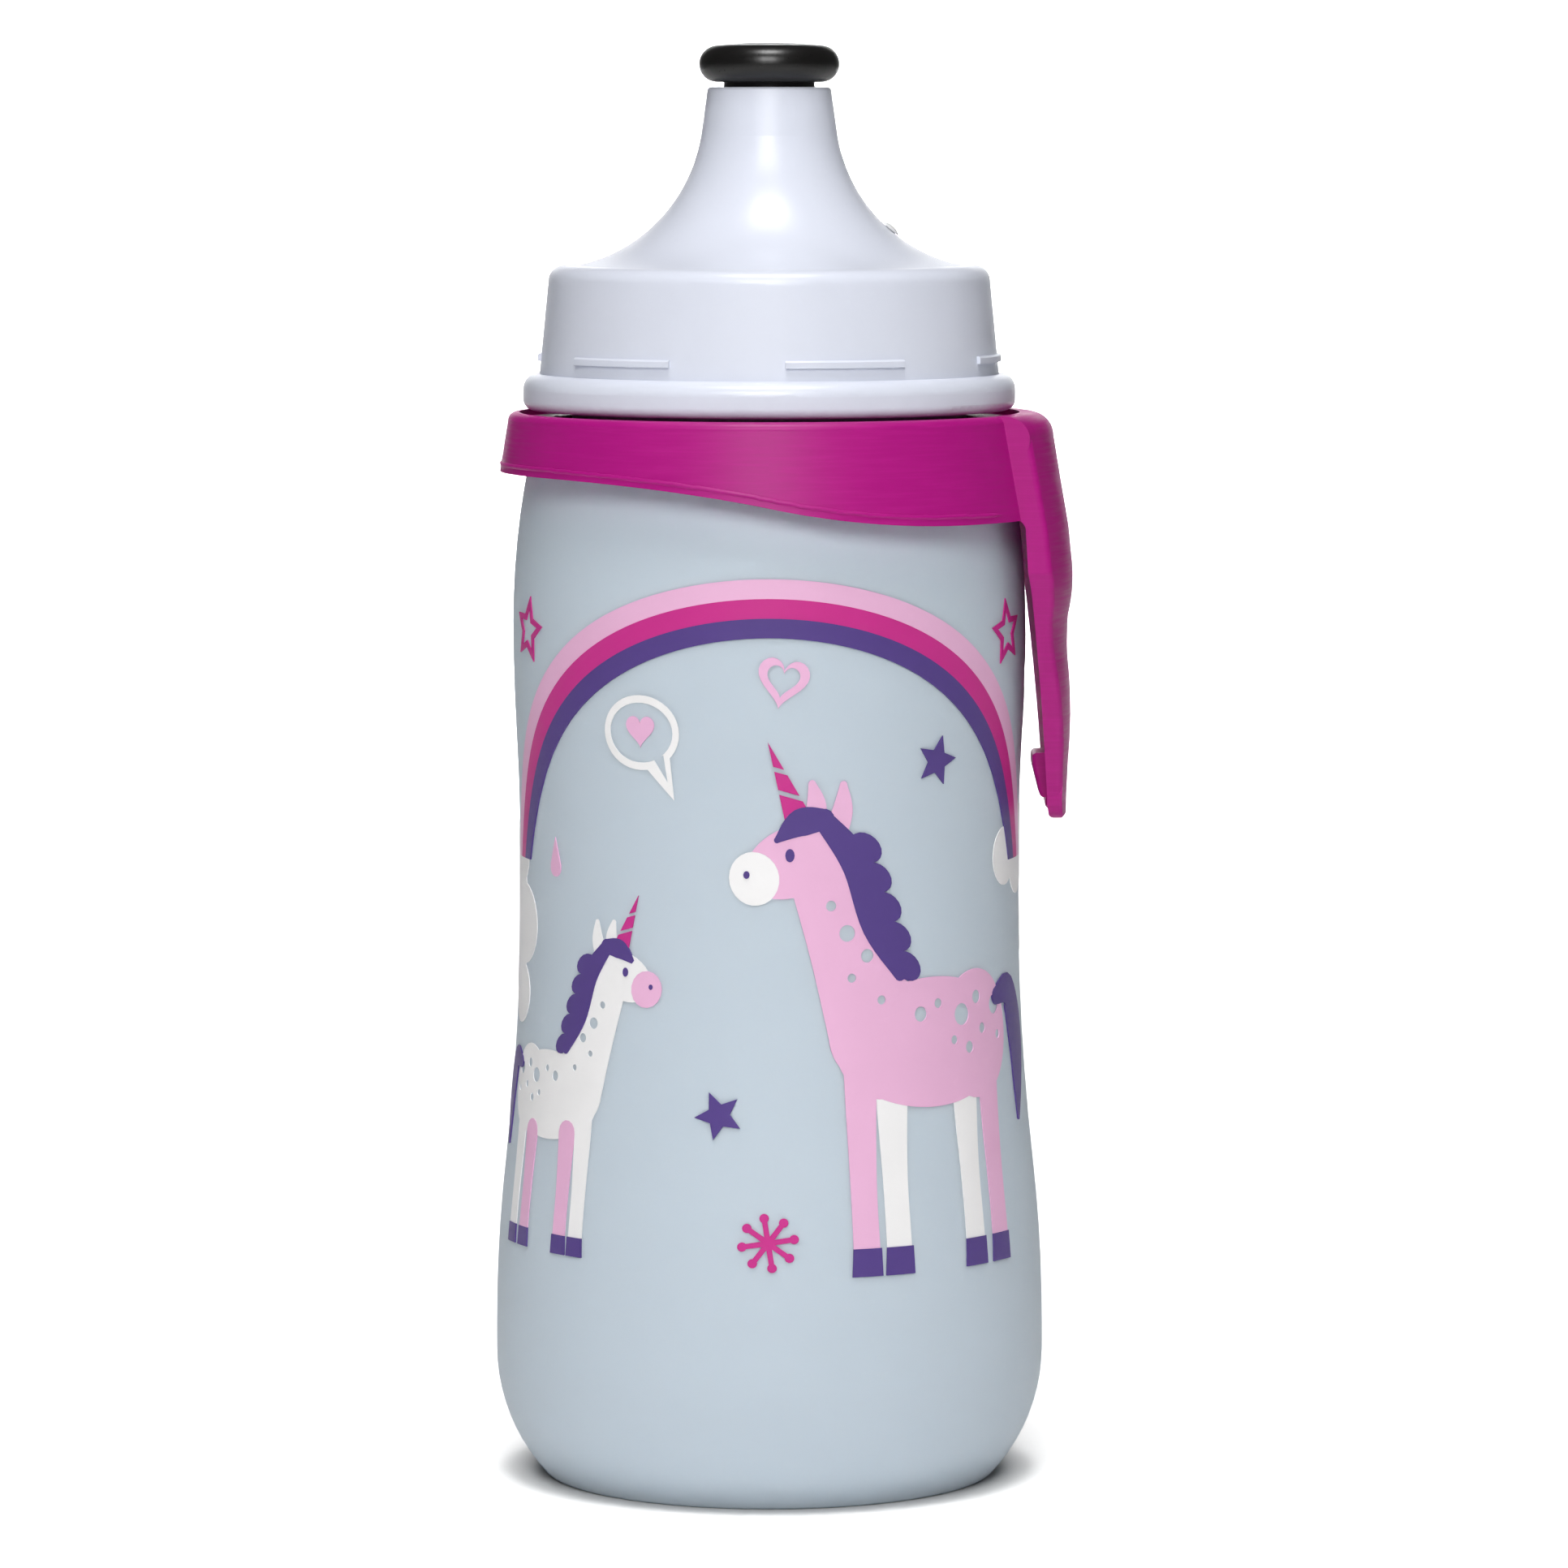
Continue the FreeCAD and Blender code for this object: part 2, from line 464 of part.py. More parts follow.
# ---------------------------------------------------------------- bottle
def make_bottle():
    """Blow-moulded body: domed base on a ring foot, waisted side, shoulder."""
    body = new_body("bottle")
    section = new_sketch(body, "bottle_section")
    outline(section, [
        ("0", "sizes.pushup_height", "places.pushup_curve", -1),
        ("places.pushup_radius", "0"),
        ("sizes.foot_radius", "0", "places.heel_curve", 1),
        ("sizes.belly_radius", "sizes.heel_height"),
        ("sizes.belly_radius", "places.belly_top", "places.taper_low_curve", 1),
        ("places.taper_mid_radius", "places.taper_mid_z", "places.taper_high_curve", -1),
        ("places.waist_radius", "places.waist_low"),
        ("places.waist_radius", "places.waist_top", "places.swell_curve", -1),
        ("places.swell_mid_radius", "places.swell_mid_z", "places.swell_curve", 1),
        ("places.chest_radius", "places.chest_z", "sizes.shoulder_curve", 1),
        ("places.side_radius", "places.side_top"),
        ("places.side_radius", "places.ledge_z - sizes.shoulder_corner", "sizes.shoulder_corner", 1),
        ("places.ledge_edge", "places.ledge_z"),
        ("places.neck_bore", "places.ledge_z"),
        ("places.neck_bore", "places.cavity_ledge_z"),
        ("places.ledge_edge", "places.cavity_ledge_z", "places.cavity_corner", -1),
        ("places.cavity_side", "places.ledge_z - sizes.shoulder_corner"),
        ("places.cavity_side", "places.side_top", "sizes.shoulder_curve", -1),
        ("places.chest_radius - sizes.bottle_wall", "places.chest_z", "places.swell_curve", -1),
        ("places.swell_mid_radius - sizes.bottle_wall", "places.swell_mid_z",
         "places.swell_curve", 1),
        ("places.waist_radius - sizes.bottle_wall", "places.waist_top"),
        ("places.waist_radius - sizes.bottle_wall", "places.waist_low",
         "places.taper_high_curve", 1),
        ("places.taper_mid_radius - sizes.bottle_wall", "places.taper_mid_z",
         "places.taper_low_curve", -1),
        ("places.cavity_radius", "places.belly_top"),
        ("places.cavity_radius", "sizes.heel_height", "places.cavity_heel_curve", -1),
        ("places.cavity_foot", "places.floor_z"),
        ("0", "places.floor_z"),
    ])
    turned = revolve(body, "bottle_wall_turned", section)
    doc.recompute()
    foot = body.newObject("PartDesign::Fillet", "foot_rounding")
    foot.Base = (turned, [circle_edge(turned, "sizes.foot_radius", "0")])
    bind(foot, Radius="sizes.foot_edge")
    keep("bottle", body)


def make_neck():
    """Threaded neck. It is one moulding with the bottle, cut off level with the shoulder."""
    body = new_body("bottle_neck")
    section = new_sketch(body, "neck_section")
    outline(section, [
        ("places.neck_bore", "places.ledge_z"),
        ("places.neck_radius", "places.ledge_z"),
        ("places.neck_radius", "places.rim_z"),
        ("places.neck_bore", "places.rim_z"),
    ])
    revolve(body, "neck_wall_turned", section)
    ridge(body, "neck_ridge", "places.neck_radius - sizes.thread_bite", "places.ridge_radius",
          "places.neck_ridge_z")
    keep("bottle_neck", body)


def circle_edge(feature, radius, height):
    """The name of the feature's circular edge at that radius and height."""
    for number, edge in enumerate(feature.Shape.Edges, start=1):
        if edge.Degenerated or not isinstance(edge.Curve, Part.Circle):
            continue
        curve = edge.Curve
        if abs(curve.Radius - measure(radius)) < NEAR and abs(curve.Center.z - measure(height)) < NEAR:
            return "Edge%d" % number
    raise ValueError("no circular edge at radius %s, height %s" % (radius, height))


# ---------------------------------------------------------------- lid
def make_lid():
    """Screw lid: skirt with snap ribs, rounded rim, flared spout with the tube's guide."""
    body = new_body("lid")
    section = new_sketch(body, "lid_section")
    outline(section, [
        ("places.bore_radius", "places.lid_low"),
        ("places.bead_radius - sizes.bead_round_low", "places.lid_low",
         "sizes.bead_round_low", 1),
        ("places.bead_radius", "places.lid_low + sizes.bead_round_low"),
        ("places.bead_radius", "places.bead_top - sizes.bead_round_top",
         "sizes.bead_round_top", 1),
        ("places.bead_radius - sizes.bead_round_top", "places.bead_top"),
        ("places.skirt_low_radius", "places.bead_top"),
        ("places.skirt_radius", "places.lid_top - sizes.lid_corner", "sizes.lid_corner", 1),
        ("places.skirt_radius - sizes.lid_corner", "places.lid_top"),
        ("places.flare_foot", "places.lid_top", "places.flare_curve", -1),
        ("sizes.spout_root_radius", "places.spout_root_z"),
        ("sizes.spout_tip_radius", "places.spout_top - sizes.spout_round",
         "sizes.spout_round", 1),
        ("sizes.spout_tip_radius - sizes.spout_round", "places.spout_top"),
        ("sizes.guide_radius", "places.spout_top"),
        ("sizes.guide_radius", "places.guide_low"),
        ("places.guide_outer", "places.guide_low"),
        ("places.guide_outer", "places.guide_join_z", "places.inner_curve", 1),
        ("places.inner_foot", "places.cage_seat_z"),
        ("places.cage_seat_radius", "places.cage_seat_z"),
        ("places.cage_seat_radius", "places.ceiling_z"),
        ("places.bore_radius", "places.ceiling_z"),
    ])
    revolve(body, "lid_wall_turned", section)
    ridge(body, "lid_ridge", "places.bore_radius + sizes.thread_bite",
          "places.bore_radius - sizes.thread_depth", "places.lid_ridge_z")
    rib_section = new_sketch(body, "rib_section", turn="sizes.rib_first - 90")
    outline(rib_section, [
        ("places.rib_root", "places.rib_low"),
        ("places.rib_face", "places.rib_low"),
        ("places.rib_face", "places.rib_high - sizes.rib_bevel"),
        ("places.rib_face - sizes.rib_bevel", "places.rib_high"),
        ("places.rib_root", "places.rib_high"),
    ])
    rib = revolve(body, "snap_rib", rib_section, "sizes.rib_span")
    doc.recompute()
    ribs = body.newObject("PartDesign::PolarPattern", "snap_ribs")
    ribs.Originals = [rib]
    ribs.Axis = (rib_section, ["V_Axis"])
    ribs.Angle = 360
    bind(ribs, Occurrences="sizes.rib_count")
    body.Tip = ribs
    drill = doc.addObject("Part::Cylinder", "vent_drill")
    bind(drill, Radius="sizes.vent_hole", Height="4 * sizes.lid_wall")
    stand_on_flare(drill, "2 * sizes.lid_wall")
    lid = doc.addObject("Part::Cut", "lid_cut")
    lid.Base = body
    lid.Tool = drill
    keep("lid", lid)


def stand_on_flare(thing, sunk="0"):
    """Places a piece on the flare at the vent, its own Z pointing straight out."""
    thing.Placement = FreeCAD.Placement(FreeCAD.Vector(), FreeCAD.Rotation(FreeCAD.Vector(0, 1, 0), 30))
    reach = "(places.flare_curve + %s)" % sunk
    bind(thing,
         Placement__Base__x="places.flare_x - %s * sin(sizes.vent_angle)" % reach,
         Placement__Base__z="places.flare_z - %s * cos(sizes.vent_angle)" % reach,
         Placement__Rotation__Angle="sizes.vent_angle")


def make_gasket():
    """Flat silicone ring between the bottle's rim and the lid's ceiling."""
    body = new_body("lid_gasket")
    section = new_sketch(body, "gasket_section")
    low = "places.rim_z + sizes.seat_gap"
    top = "places.ceiling_z - sizes.seat_gap"
    outer = "places.gasket_inner + sizes.gasket_width"
    outline(section, [("places.gasket_inner", low), (outer, low), (outer, top),
                      ("places.gasket_inner", top)])
    revolve(body, "gasket_turned", section)
    keep("lid_gasket", body)


def make_vent_valve():
    """Silicone button through the lid: outer head, stem and inner flap."""
    body = new_body("vent_valve")
    section = new_sketch(body, "vent_section")
    stem = "sizes.vent_hole - sizes.vent_stem_play"
    under = "-(sizes.lid_wall + sizes.vent_lift)"
    outline(section, [
        ("0", under + " - sizes.vent_flap_thick"),
        ("sizes.vent_flap", under + " - sizes.vent_flap_thick"),
        ("sizes.vent_flap", under + " - sizes.vent_flap_thick + sizes.vent_flap_lip"),
        (stem, under),
        (stem, "sizes.vent_button_lift"),
        ("sizes.vent_head", "sizes.vent_button_lift"),
        ("sizes.vent_head", "sizes.vent_button_edge", "places.button_curve", 1),
        ("0", "sizes.vent_head_thick"),
    ])
    revolve(body, "vent_turned", section)
    stand_on_flare(body)
    keep("vent_valve", body)


# ---------------------------------------------------------------- drinking spout
def make_drinking_tube():
    """Hard tube that slides in the spout: stop collar, seal groove, core for the mouthpiece."""
    body = new_body("drinking_tube")
    section = new_sketch(body, "tube_section")
    floor = "places.tube_radius - sizes.ring_depth"
    bead = "sizes.core_radius + sizes.core_bead"
    outline(section, [
        ("sizes.tube_bore", "places.tube_low"),
        ("sizes.tube_collar", "places.tube_low"),
        ("sizes.tube_collar", "places.collar_top"),
        ("places.tube_radius", "places.collar_top"),
        ("places.tube_radius", "places.ring_z - sizes.ring_groove"),
        (floor, "places.ring_z - sizes.ring_groove"),
        (floor, "places.ring_z + sizes.ring_groove"),
        ("places.tube_radius", "places.ring_z + sizes.ring_groove"),
        ("places.tube_radius", "places.grip_low - sizes.grip_play"),
        ("sizes.core_radius", "places.grip_low - sizes.grip_play"),
        ("sizes.core_radius", "places.core_bead_z - sizes.core_bead"),
        (bead, "places.core_bead_z"),
        ("sizes.core_radius", "places.core_bead_z + sizes.core_bead"),
        ("sizes.core_radius", "places.core_top"),
        ("sizes.tube_bore", "places.core_top"),
    ])
    revolve(body, "tube_turned", section)
    keep("drinking_tube", body)


def make_tube_seal():
    """Sliding ring seal in the tube's groove."""
    ring = doc.addObject("Part::Torus", "tube_seal_ring")
    bind(ring, Radius1="places.ring_radius", Radius2="sizes.ring_section",
         Placement__Base__z="places.ring_z")
    keep("tube_seal", ring)


def make_mouthpiece():
    """Soft head with the drinking hole, and its sleeve down into the spout."""
    body = new_body("mouthpiece")
    section = new_sketch(body, "mouthpiece_section")
    bore = "sizes.core_radius + sizes.grip_play"
    bead = bore + " + sizes.core_bead"
    shoulder = "sizes.head_radius - sizes.head_round"
    round_low = "(places.head_mid - places.head_low)"
    outline(section, [
        (bore, "places.grip_low"),
        ("places.tube_radius", "places.grip_low"),
        ("places.tube_radius", "places.head_low"),
        ("sizes.head_radius - " + round_low, "places.head_low", round_low, 1),
        ("sizes.head_radius", "places.head_mid", "sizes.head_round", 1),
        (shoulder, "places.head_top - sizes.head_crown"),
        ("sizes.hole_radius + 2 * sizes.hole_chamfer", "places.head_top"),
        ("sizes.hole_radius", "places.head_top - sizes.hole_chamfer"),
        ("sizes.hole_radius", "places.hole_low"),
        (bore, "places.hole_low"),
        (bore, "places.core_bead_z + sizes.core_bead"),
        (bead, "places.core_bead_z"),
        (bore, "places.core_bead_z - sizes.core_bead"),
    ])
    revolve(body, "mouthpiece_turned", section)
    keep("mouthpiece", body)


def make_valve_pin():
    """Fixed pin that plugs the drinking hole, on a three-armed cage in the lid."""
    body = new_body("valve_pin")
    section = new_sketch(body, "pin_section")
    neck = "places.pin_top - sizes.pin_tip"
    outline(section, [
        ("0", "places.ceiling_z"),
        ("sizes.hub_radius", "places.ceiling_z"),
        ("sizes.hub_radius", "places.ceiling_z + sizes.hub_height - sizes.hub_cone"),
        ("sizes.pin_radius", "places.ceiling_z + sizes.hub_height"),
        ("sizes.pin_radius", neck + " - sizes.pin_cone"),
        ("places.pin_tip_radius", neck),
        ("places.pin_tip_radius", "places.pin_top - sizes.pin_bevel"),
        ("places.pin_tip_radius - sizes.pin_bevel", "places.pin_top"),
        ("0", "places.pin_top"),
    ])
    revolve(body, "pin_turned", section)
    edge = "places.cage_seat_radius - sizes.cage_play"
    top = "places.cage_seat_z - sizes.cage_play"
    ring_section = new_sketch(body, "cage_section")
    outline(ring_section, [
        (edge + " - sizes.cage_ring", "places.ceiling_z"),
        (edge, "places.ceiling_z"),
        (edge, top),
        (edge + " - sizes.cage_ring", top),
    ])
    arm_plan = new_sketch(body, "arm_plan", "XY_Plane")
    near = "sizes.hub_radius - sizes.arm_bite"
    far = edge + " - sizes.cage_ring + sizes.arm_bite"
    outline(arm_plan, [
        (near, "-sizes.arm_width / 2"),
        (far, "-sizes.arm_width / 2"),
        (far, "sizes.arm_width / 2"),
        (near, "sizes.arm_width / 2"),
    ])
    arm_plan.setExpression("AttachmentOffset.Base.z", "places.ceiling_z")
    doc.recompute()
    arm = body.newObject("PartDesign::Pad", "cage_arm")
    arm.Profile = arm_plan
    bind(arm, Length="sizes.cage_seat - sizes.cage_play")
    doc.recompute()
    arms = body.newObject("PartDesign::PolarPattern", "cage_arms")
    arms.Originals = [arm]
    arms.Axis = (arm_plan, ["N_Axis"])
    arms.Angle = 360
    bind(arms, Occurrences="sizes.arm_count")
    body.Tip = arms
    revolve(body, "cage_ring_turned", ring_section)
    keep("valve_pin", body)


# ---------------------------------------------------------------- carrying band and clip
def make_carry_band():
    """Loose ring on the shoulder with a waved lower edge, and the clip's bracket."""
    body = new_body("band")
    section = new_sketch(body, "band_section")
    outline(section, [
        ("places.band_bore_low", "places.band_low"),
        ("places.band_out_low", "places.band_low"),
        ("places.band_out_top", "places.band_top - sizes.band_round", "sizes.band_round", 1),
        ("places.band_rim", "places.band_top"),
        ("places.band_rim - sizes.band_lip_width", "places.band_top"),
        ("places.band_rim - sizes.band_lip_width", "places.flange_top"),
        ("places.flange_bore", "places.flange_top"),
        ("places.flange_bore", "places.flange_low"),
        ("places.band_bore_top", "places.flange_low"),
    ])
    revolve(body, "band_turned", section)
    wave = new_sketch(body, "wave_outline")
    below = "places.band_low - sizes.cut_room"
    left = "-(places.band_out_low + sizes.cut_room)"
    outline(wave, [
        (left, below),
        ("sizes.wave_low_end", below),
        ("sizes.wave_low_end", "places.band_low", "places.wave_low_curve", -1),
        ("places.wave_mid_x", "places.wave_mid_z", "places.wave_high_curve", 1),
        ("-sizes.wave_high_end", "places.wave_high_z"),
        (left, "places.wave_high_z"),
    ])
    doc.recompute()
    cut = body.newObject("PartDesign::Pocket", "wave_cut")
    cut.Profile = wave
    cut.Type = "ThroughAll"
    cut.Midplane = True
    doc.recompute()
    bracket = tongue("bracket", [
        ("(places.band_bore_low + places.band_out_low) / 2", "places.band_low"),
        ("places.flex_inner - sizes.clip_heel / 2", "places.band_low", "sizes.clip_heel", -1),
        ("places.flex_inner", "places.flex_z"),
        ("places.flex_radius", "places.flex_z"),
        ("places.clip_head", "places.band_top - sizes.clip_round", "sizes.clip_round", 1),
        ("places.clip_head - sizes.clip_round", "places.band_top"),
        ("places.band_rim - sizes.bracket_bite", "places.band_top"),
        ("(places.band_bore_top + places.band_out_top) / 2", "places.flange_low"),
    ])
    band = doc.addObject("Part::Fuse", "band_fused")
    band.Base = body
    band.Tool = bracket
    keep("carry_band", band)


def tongue(name, corners):
    """A sector turned about the bottle's axis, trimmed to the clip's tapering width."""
    body = new_body(name)
    section = new_sketch(body, name + "_section")
    outline(section, corners)
    revolve(body, name + "_turned", section, "sizes.clip_turn")
    doc.recompute()
    trim = new_sketch(body, name + "_trim", "YZ_Plane")
    edge = "places.band_top + sizes.cut_room"
    wide = "(places.flex_radius + sizes.cut_room)"
    narrow = "places.band_top - sizes.clip_narrow_at"
    lean = "(sizes.clip_top_half - sizes.clip_tip_half) / (sizes.clip_length - sizes.clip_narrow_at)"
    corner_half = "(sizes.clip_tip_half + sizes.clip_tip_round * %s)" % lean
    corner = "places.clip_tip + sizes.clip_tip_round"
    below = "places.clip_tip - sizes.cut_room"
    outline(trim, [
        ("-" + wide, below),
        ("0", below),
        ("0", "places.clip_tip"),
        ("-(%s - sizes.clip_tip_round)" % corner_half, "places.clip_tip",
         "sizes.clip_tip_round", -1),
        ("-" + corner_half, corner),
        ("-sizes.clip_top_half", narrow),
        ("-sizes.clip_top_half", edge),
        ("-" + wide, edge),
    ])
    doc.recompute()
    side = body.newObject("PartDesign::Pocket", name + "_side")
    side.Profile = trim
    side.Type = "ThroughAll"
    side.Reversed = True
    doc.recompute()
    both = body.newObject("PartDesign::Mirrored", name + "_sides")
    both.Originals = [side]
    both.MirrorPlane = (plane_of(body, "XZ_Plane"), [""])
    body.Tip = both
    doc.recompute()
    soft = body.newObject("PartDesign::Fillet", name + "_edges")
    soft.Base = (both, side_edges(both))
    bind(soft, Radius="sizes.clip_edge")
    return body


def side_edges(feature):
    """The outer edges of both flat sides, from the tip's corners upwards."""
    reach = measure("places.flex_radius - sizes.clip_thick / 2")
    lowest = measure("places.clip_tip + sizes.clip_tip_round")
    names = []
    for number, edge in enumerate(feature.Shape.Edges, start=1):
        middle = edge.CenterOfMass
        tall = edge.BoundBox.ZLength
        if edge.BoundBox.ZMin < lowest - NEAR or tall < NEAR:
            continue
        if (middle.x ** 2 + middle.y ** 2) ** 0.5 > reach and tall > edge.BoundBox.XLength:
            names.append("Edge%d" % number)
    if not names:
        raise ValueError("the clip has no side edges")
    return names


def make_carry_clip():
    """Springy arm of the clip, from the line about which it flexes down to its tip."""
    drop = "places.flex_z - places.arm_length * "
    thin_end = "places.arm_inner - sizes.clip_tip_sunk"
    body = tongue("clip", [
        (thin_end, "places.clip_tip + sizes.clip_tip_rise", "sizes.clip_tip_curve", 1),
        (thin_end + " + sizes.clip_tip_thick", "places.clip_tip + sizes.clip_tip_rise"),
        ("places.flex_radius", drop + "sizes.clip_flick_at", "sizes.clip_bow_low", 1),
        ("places.flex_radius + sizes.clip_swell", drop + "sizes.clip_swell_at",
         "sizes.clip_bow_mid", -1),
        ("places.flex_radius", drop + "sizes.clip_dent_at", "sizes.clip_bow_high", 1),
        ("places.flex_radius + sizes.clip_bulge", drop + "sizes.clip_bulge_at"),
        ("places.flex_radius", "places.flex_z"),
        ("places.flex_inner", "places.flex_z"),
        ("places.arm_inner", drop + "sizes.clip_drift_at"),
    ])
    doc.recompute()
    catch = new_sketch(body, "catch_section")
    root = "places.arm_inner + sizes.knob_bite"
    stub_face = "places.arm_inner - sizes.stub_out"
    outline(catch, [
        (root, "places.knob_low"),
        ("places.arm_inner - sizes.knob_low_out", "places.knob_low"),
        ("places.arm_inner - sizes.knob_out", "places.knob_top - sizes.knob_slope"),
        ("places.arm_inner - sizes.knob_out", "places.knob_top"),
        (root, "places.knob_top"),
    ])
    stub = new_sketch(body, "stub_section")
    outline(stub, [
        (root, "places.knob_low - sizes.stub_tall"),
        (stub_face, "places.knob_low - sizes.stub_tall"),
        (stub_face, "places.knob_low + sizes.stub_bite"),
        (root, "places.knob_low + sizes.stub_bite"),
    ])
    doc.recompute()
    for name, profile, half in (("stub", stub, "sizes.stub_half"), ("catch", catch, "sizes.knob_half")):
        block = body.newObject("PartDesign::Pad", name)
        block.Profile = profile
        block.Midplane = True
        bind(block, Length="2 * " + half)
        doc.recompute()
    soft = body.newObject("PartDesign::Fillet", "catch_rounding")
    soft.Base = (block, catch_edges(block))
    bind(soft, Radius="sizes.knob_round")
    keep("carry_clip", body)


def catch_edges(feature):
    """The catch's free edges: those that lie well inside the arm's inner face."""
    face = measure("places.arm_inner - sizes.knob_low_out") + NEAR
    side = measure("sizes.knob_half") + NEAR
    names = []
    for number, edge in enumerate(feature.Shape.Edges, start=1):
        box = edge.BoundBox
        if box.XMax <= face and box.YMax <= side and box.YMin >= -side:
            names.append("Edge%d" % number)
    if not names:
        raise ValueError("the catch has no free edges")
    return names


# ---------------------------------------------------------------- build and write
def main():
    """Builds every piece, checks it and writes it."""
    make_bottle()
    make_neck()
    make_lid()
    make_gasket()
    make_vent_valve()
    make_drinking_tube()
    make_tube_seal()
    make_mouthpiece()
    make_valve_pin()
    make_carry_band()
    make_carry_clip()
    doc.recompute()
    for thing in doc.Objects:
        if "Invalid" in thing.State or "Error" in thing.State:
            raise RuntimeError("%s failed: %s" % (thing.Name, thing.State))
    os.makedirs("parts", exist_ok=True)
    for node, thing in PARTS.items():
        shape = thing.Shape
        if shape.isNull() or not shape.isValid() or not shape.Solids:
            raise RuntimeError("%s has no valid solid" % node)
        shape.exportStep("parts/%s.step" % node)
        print("%-14s solids %d  volume %9.1f mm3" % (node, len(shape.Solids), shape.Volume))


main()
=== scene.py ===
import math

import bpy
import numpy as np
from mathutils import Euler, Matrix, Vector, geometry
from mathutils.bvhtree import BVHTree


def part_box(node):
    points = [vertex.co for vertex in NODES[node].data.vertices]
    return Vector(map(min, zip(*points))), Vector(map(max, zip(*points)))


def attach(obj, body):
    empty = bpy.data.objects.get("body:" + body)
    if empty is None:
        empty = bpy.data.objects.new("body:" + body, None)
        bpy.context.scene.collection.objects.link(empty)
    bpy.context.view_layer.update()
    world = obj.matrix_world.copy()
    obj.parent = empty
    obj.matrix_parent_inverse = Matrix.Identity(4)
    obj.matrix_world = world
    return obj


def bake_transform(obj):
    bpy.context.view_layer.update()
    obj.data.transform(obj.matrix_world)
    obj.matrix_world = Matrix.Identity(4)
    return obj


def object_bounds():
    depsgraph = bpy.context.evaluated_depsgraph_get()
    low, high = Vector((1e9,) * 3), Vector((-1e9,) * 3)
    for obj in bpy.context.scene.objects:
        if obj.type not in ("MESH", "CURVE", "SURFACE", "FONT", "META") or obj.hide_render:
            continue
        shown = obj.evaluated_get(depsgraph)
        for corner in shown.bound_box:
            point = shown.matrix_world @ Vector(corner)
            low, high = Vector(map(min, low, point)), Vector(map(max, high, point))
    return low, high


bl_info = {
    "name": "Push-Pull Bottle",
    "version": (1, 0, 0),
    "blender": (4, 5, 0),
    "location": "3D View > Sidebar > Bottle",
    "description": "Prints, finishes and studio for a child's push-pull drinking bottle",
    "category": "Object",
}

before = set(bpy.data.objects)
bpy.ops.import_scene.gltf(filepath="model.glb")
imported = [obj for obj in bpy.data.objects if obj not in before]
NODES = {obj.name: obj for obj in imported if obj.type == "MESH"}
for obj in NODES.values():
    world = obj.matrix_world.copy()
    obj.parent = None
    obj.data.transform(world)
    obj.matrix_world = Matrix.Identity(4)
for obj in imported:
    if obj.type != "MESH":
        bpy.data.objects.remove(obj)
CAD_BOX = [list(corner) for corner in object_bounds()]

MM = 0.001
TURN = math.tau
SHARP = math.radians(35)

# The artwork is laid out flat, in millimetres: along is measured round the bottle from the
# middle of its front, up from its foot, at the radius of the printing drum.
DRUM_RADIUS = 31.5
BACK = math.pi * DRUM_RADIUS


def to_linear(code):
    """sRGB hex code to the linear colour that shaders take."""
    channels = (int(code[k:k + 2], 16) / 255 for k in (0, 2, 4))
    return tuple(c / 12.92 if c <= 0.04045 else ((c + 0.055) / 1.055) ** 2.4 for c in channels)


# ---------------------------------------------------------------- sizes and colours
def colour(name, text, code):
    """A colour setting that starts at that hex code."""
    return bpy.props.FloatVectorProperty(
        name=name, description=text, subtype="COLOR", default=to_linear(code), min=0.0, max=1.0
    )


def length(name, text, millimetres):
    """A length setting that starts at that many millimetres."""
    return bpy.props.FloatProperty(
        name=name, description=text, unit="LENGTH", subtype="DISTANCE", default=millimetres * MM
    )


class BottleFinish(bpy.types.PropertyGroup):
    bottle: colour("Bottle", "Tint of the blow-moulded bottle", "C5D1DB")
    lid: colour("Lid", "Tint of the moulded lid", "D9DDE9")
    band: colour("Band", "Colour of the carrying band and clip", "A8107A")
    mouthpiece: colour("Mouthpiece", "Colour of the rubbery mouthpiece", "121111")
    tube: colour("Tube", "Colour of the drinking tube inside the mouthpiece", "1C1B1B")
    cage: colour("Valve cage", "White plastic of the pin and its cage", "ECECE8")
    seal: colour("Seals", "Colour of the silicone seals", "DCDDDD")
    grain: length("Mould grain", "Width of one grain of the satin mould texture", 0.35)
    scuff: length("Scuff", "Length of one fine scuff round the band", 9.0)


class BottlePrint(bpy.types.PropertyGroup):
    white: colour("White ink", "First ink through the screen", "F1F0F0")
    pink: colour("Pink ink", "Second ink", "E8B4D6")
    magenta: colour("Magenta ink", "Third ink", "C62C88")
    purple: colour("Purple ink", "Last ink", "523D84")
    film: length("Film", "Height of the first ink above the bottle", 0.08)
    overprint: length("Overprint", "How much higher each later ink lies", 0.03)
    sunk: length("Sunk", "How deep the films' backs lie in the wall", 0.12)
    mesh: length("Bending length", "Longest straight step of a film round the bottle", 1.6)


class BottleBead(bpy.types.PropertyGroup):
    lift: length("Lift", "Lower edge of the band to the bead", 0.95)
    radius: length("Radius", "Radius of the bead", 0.32)
    sunk: length("Sunk", "How deep the bead's middle lies in the band", 0.14)


class BottleWeb(bpy.types.PropertyGroup):
    above: length("Above", "Flex line to the web's upper end", 0.5)
    below: length("Below", "Flex line to the web's lower end", 1.5)
    thickness: length("Thickness", "Thickness of the strap at the flex line", 2.3)
    edge: length("Edge", "Rounding of the strap's outer edges", 0.9)
    inset: length("Inset", "How deep the web lies in the strap at the flex line", 0.1)


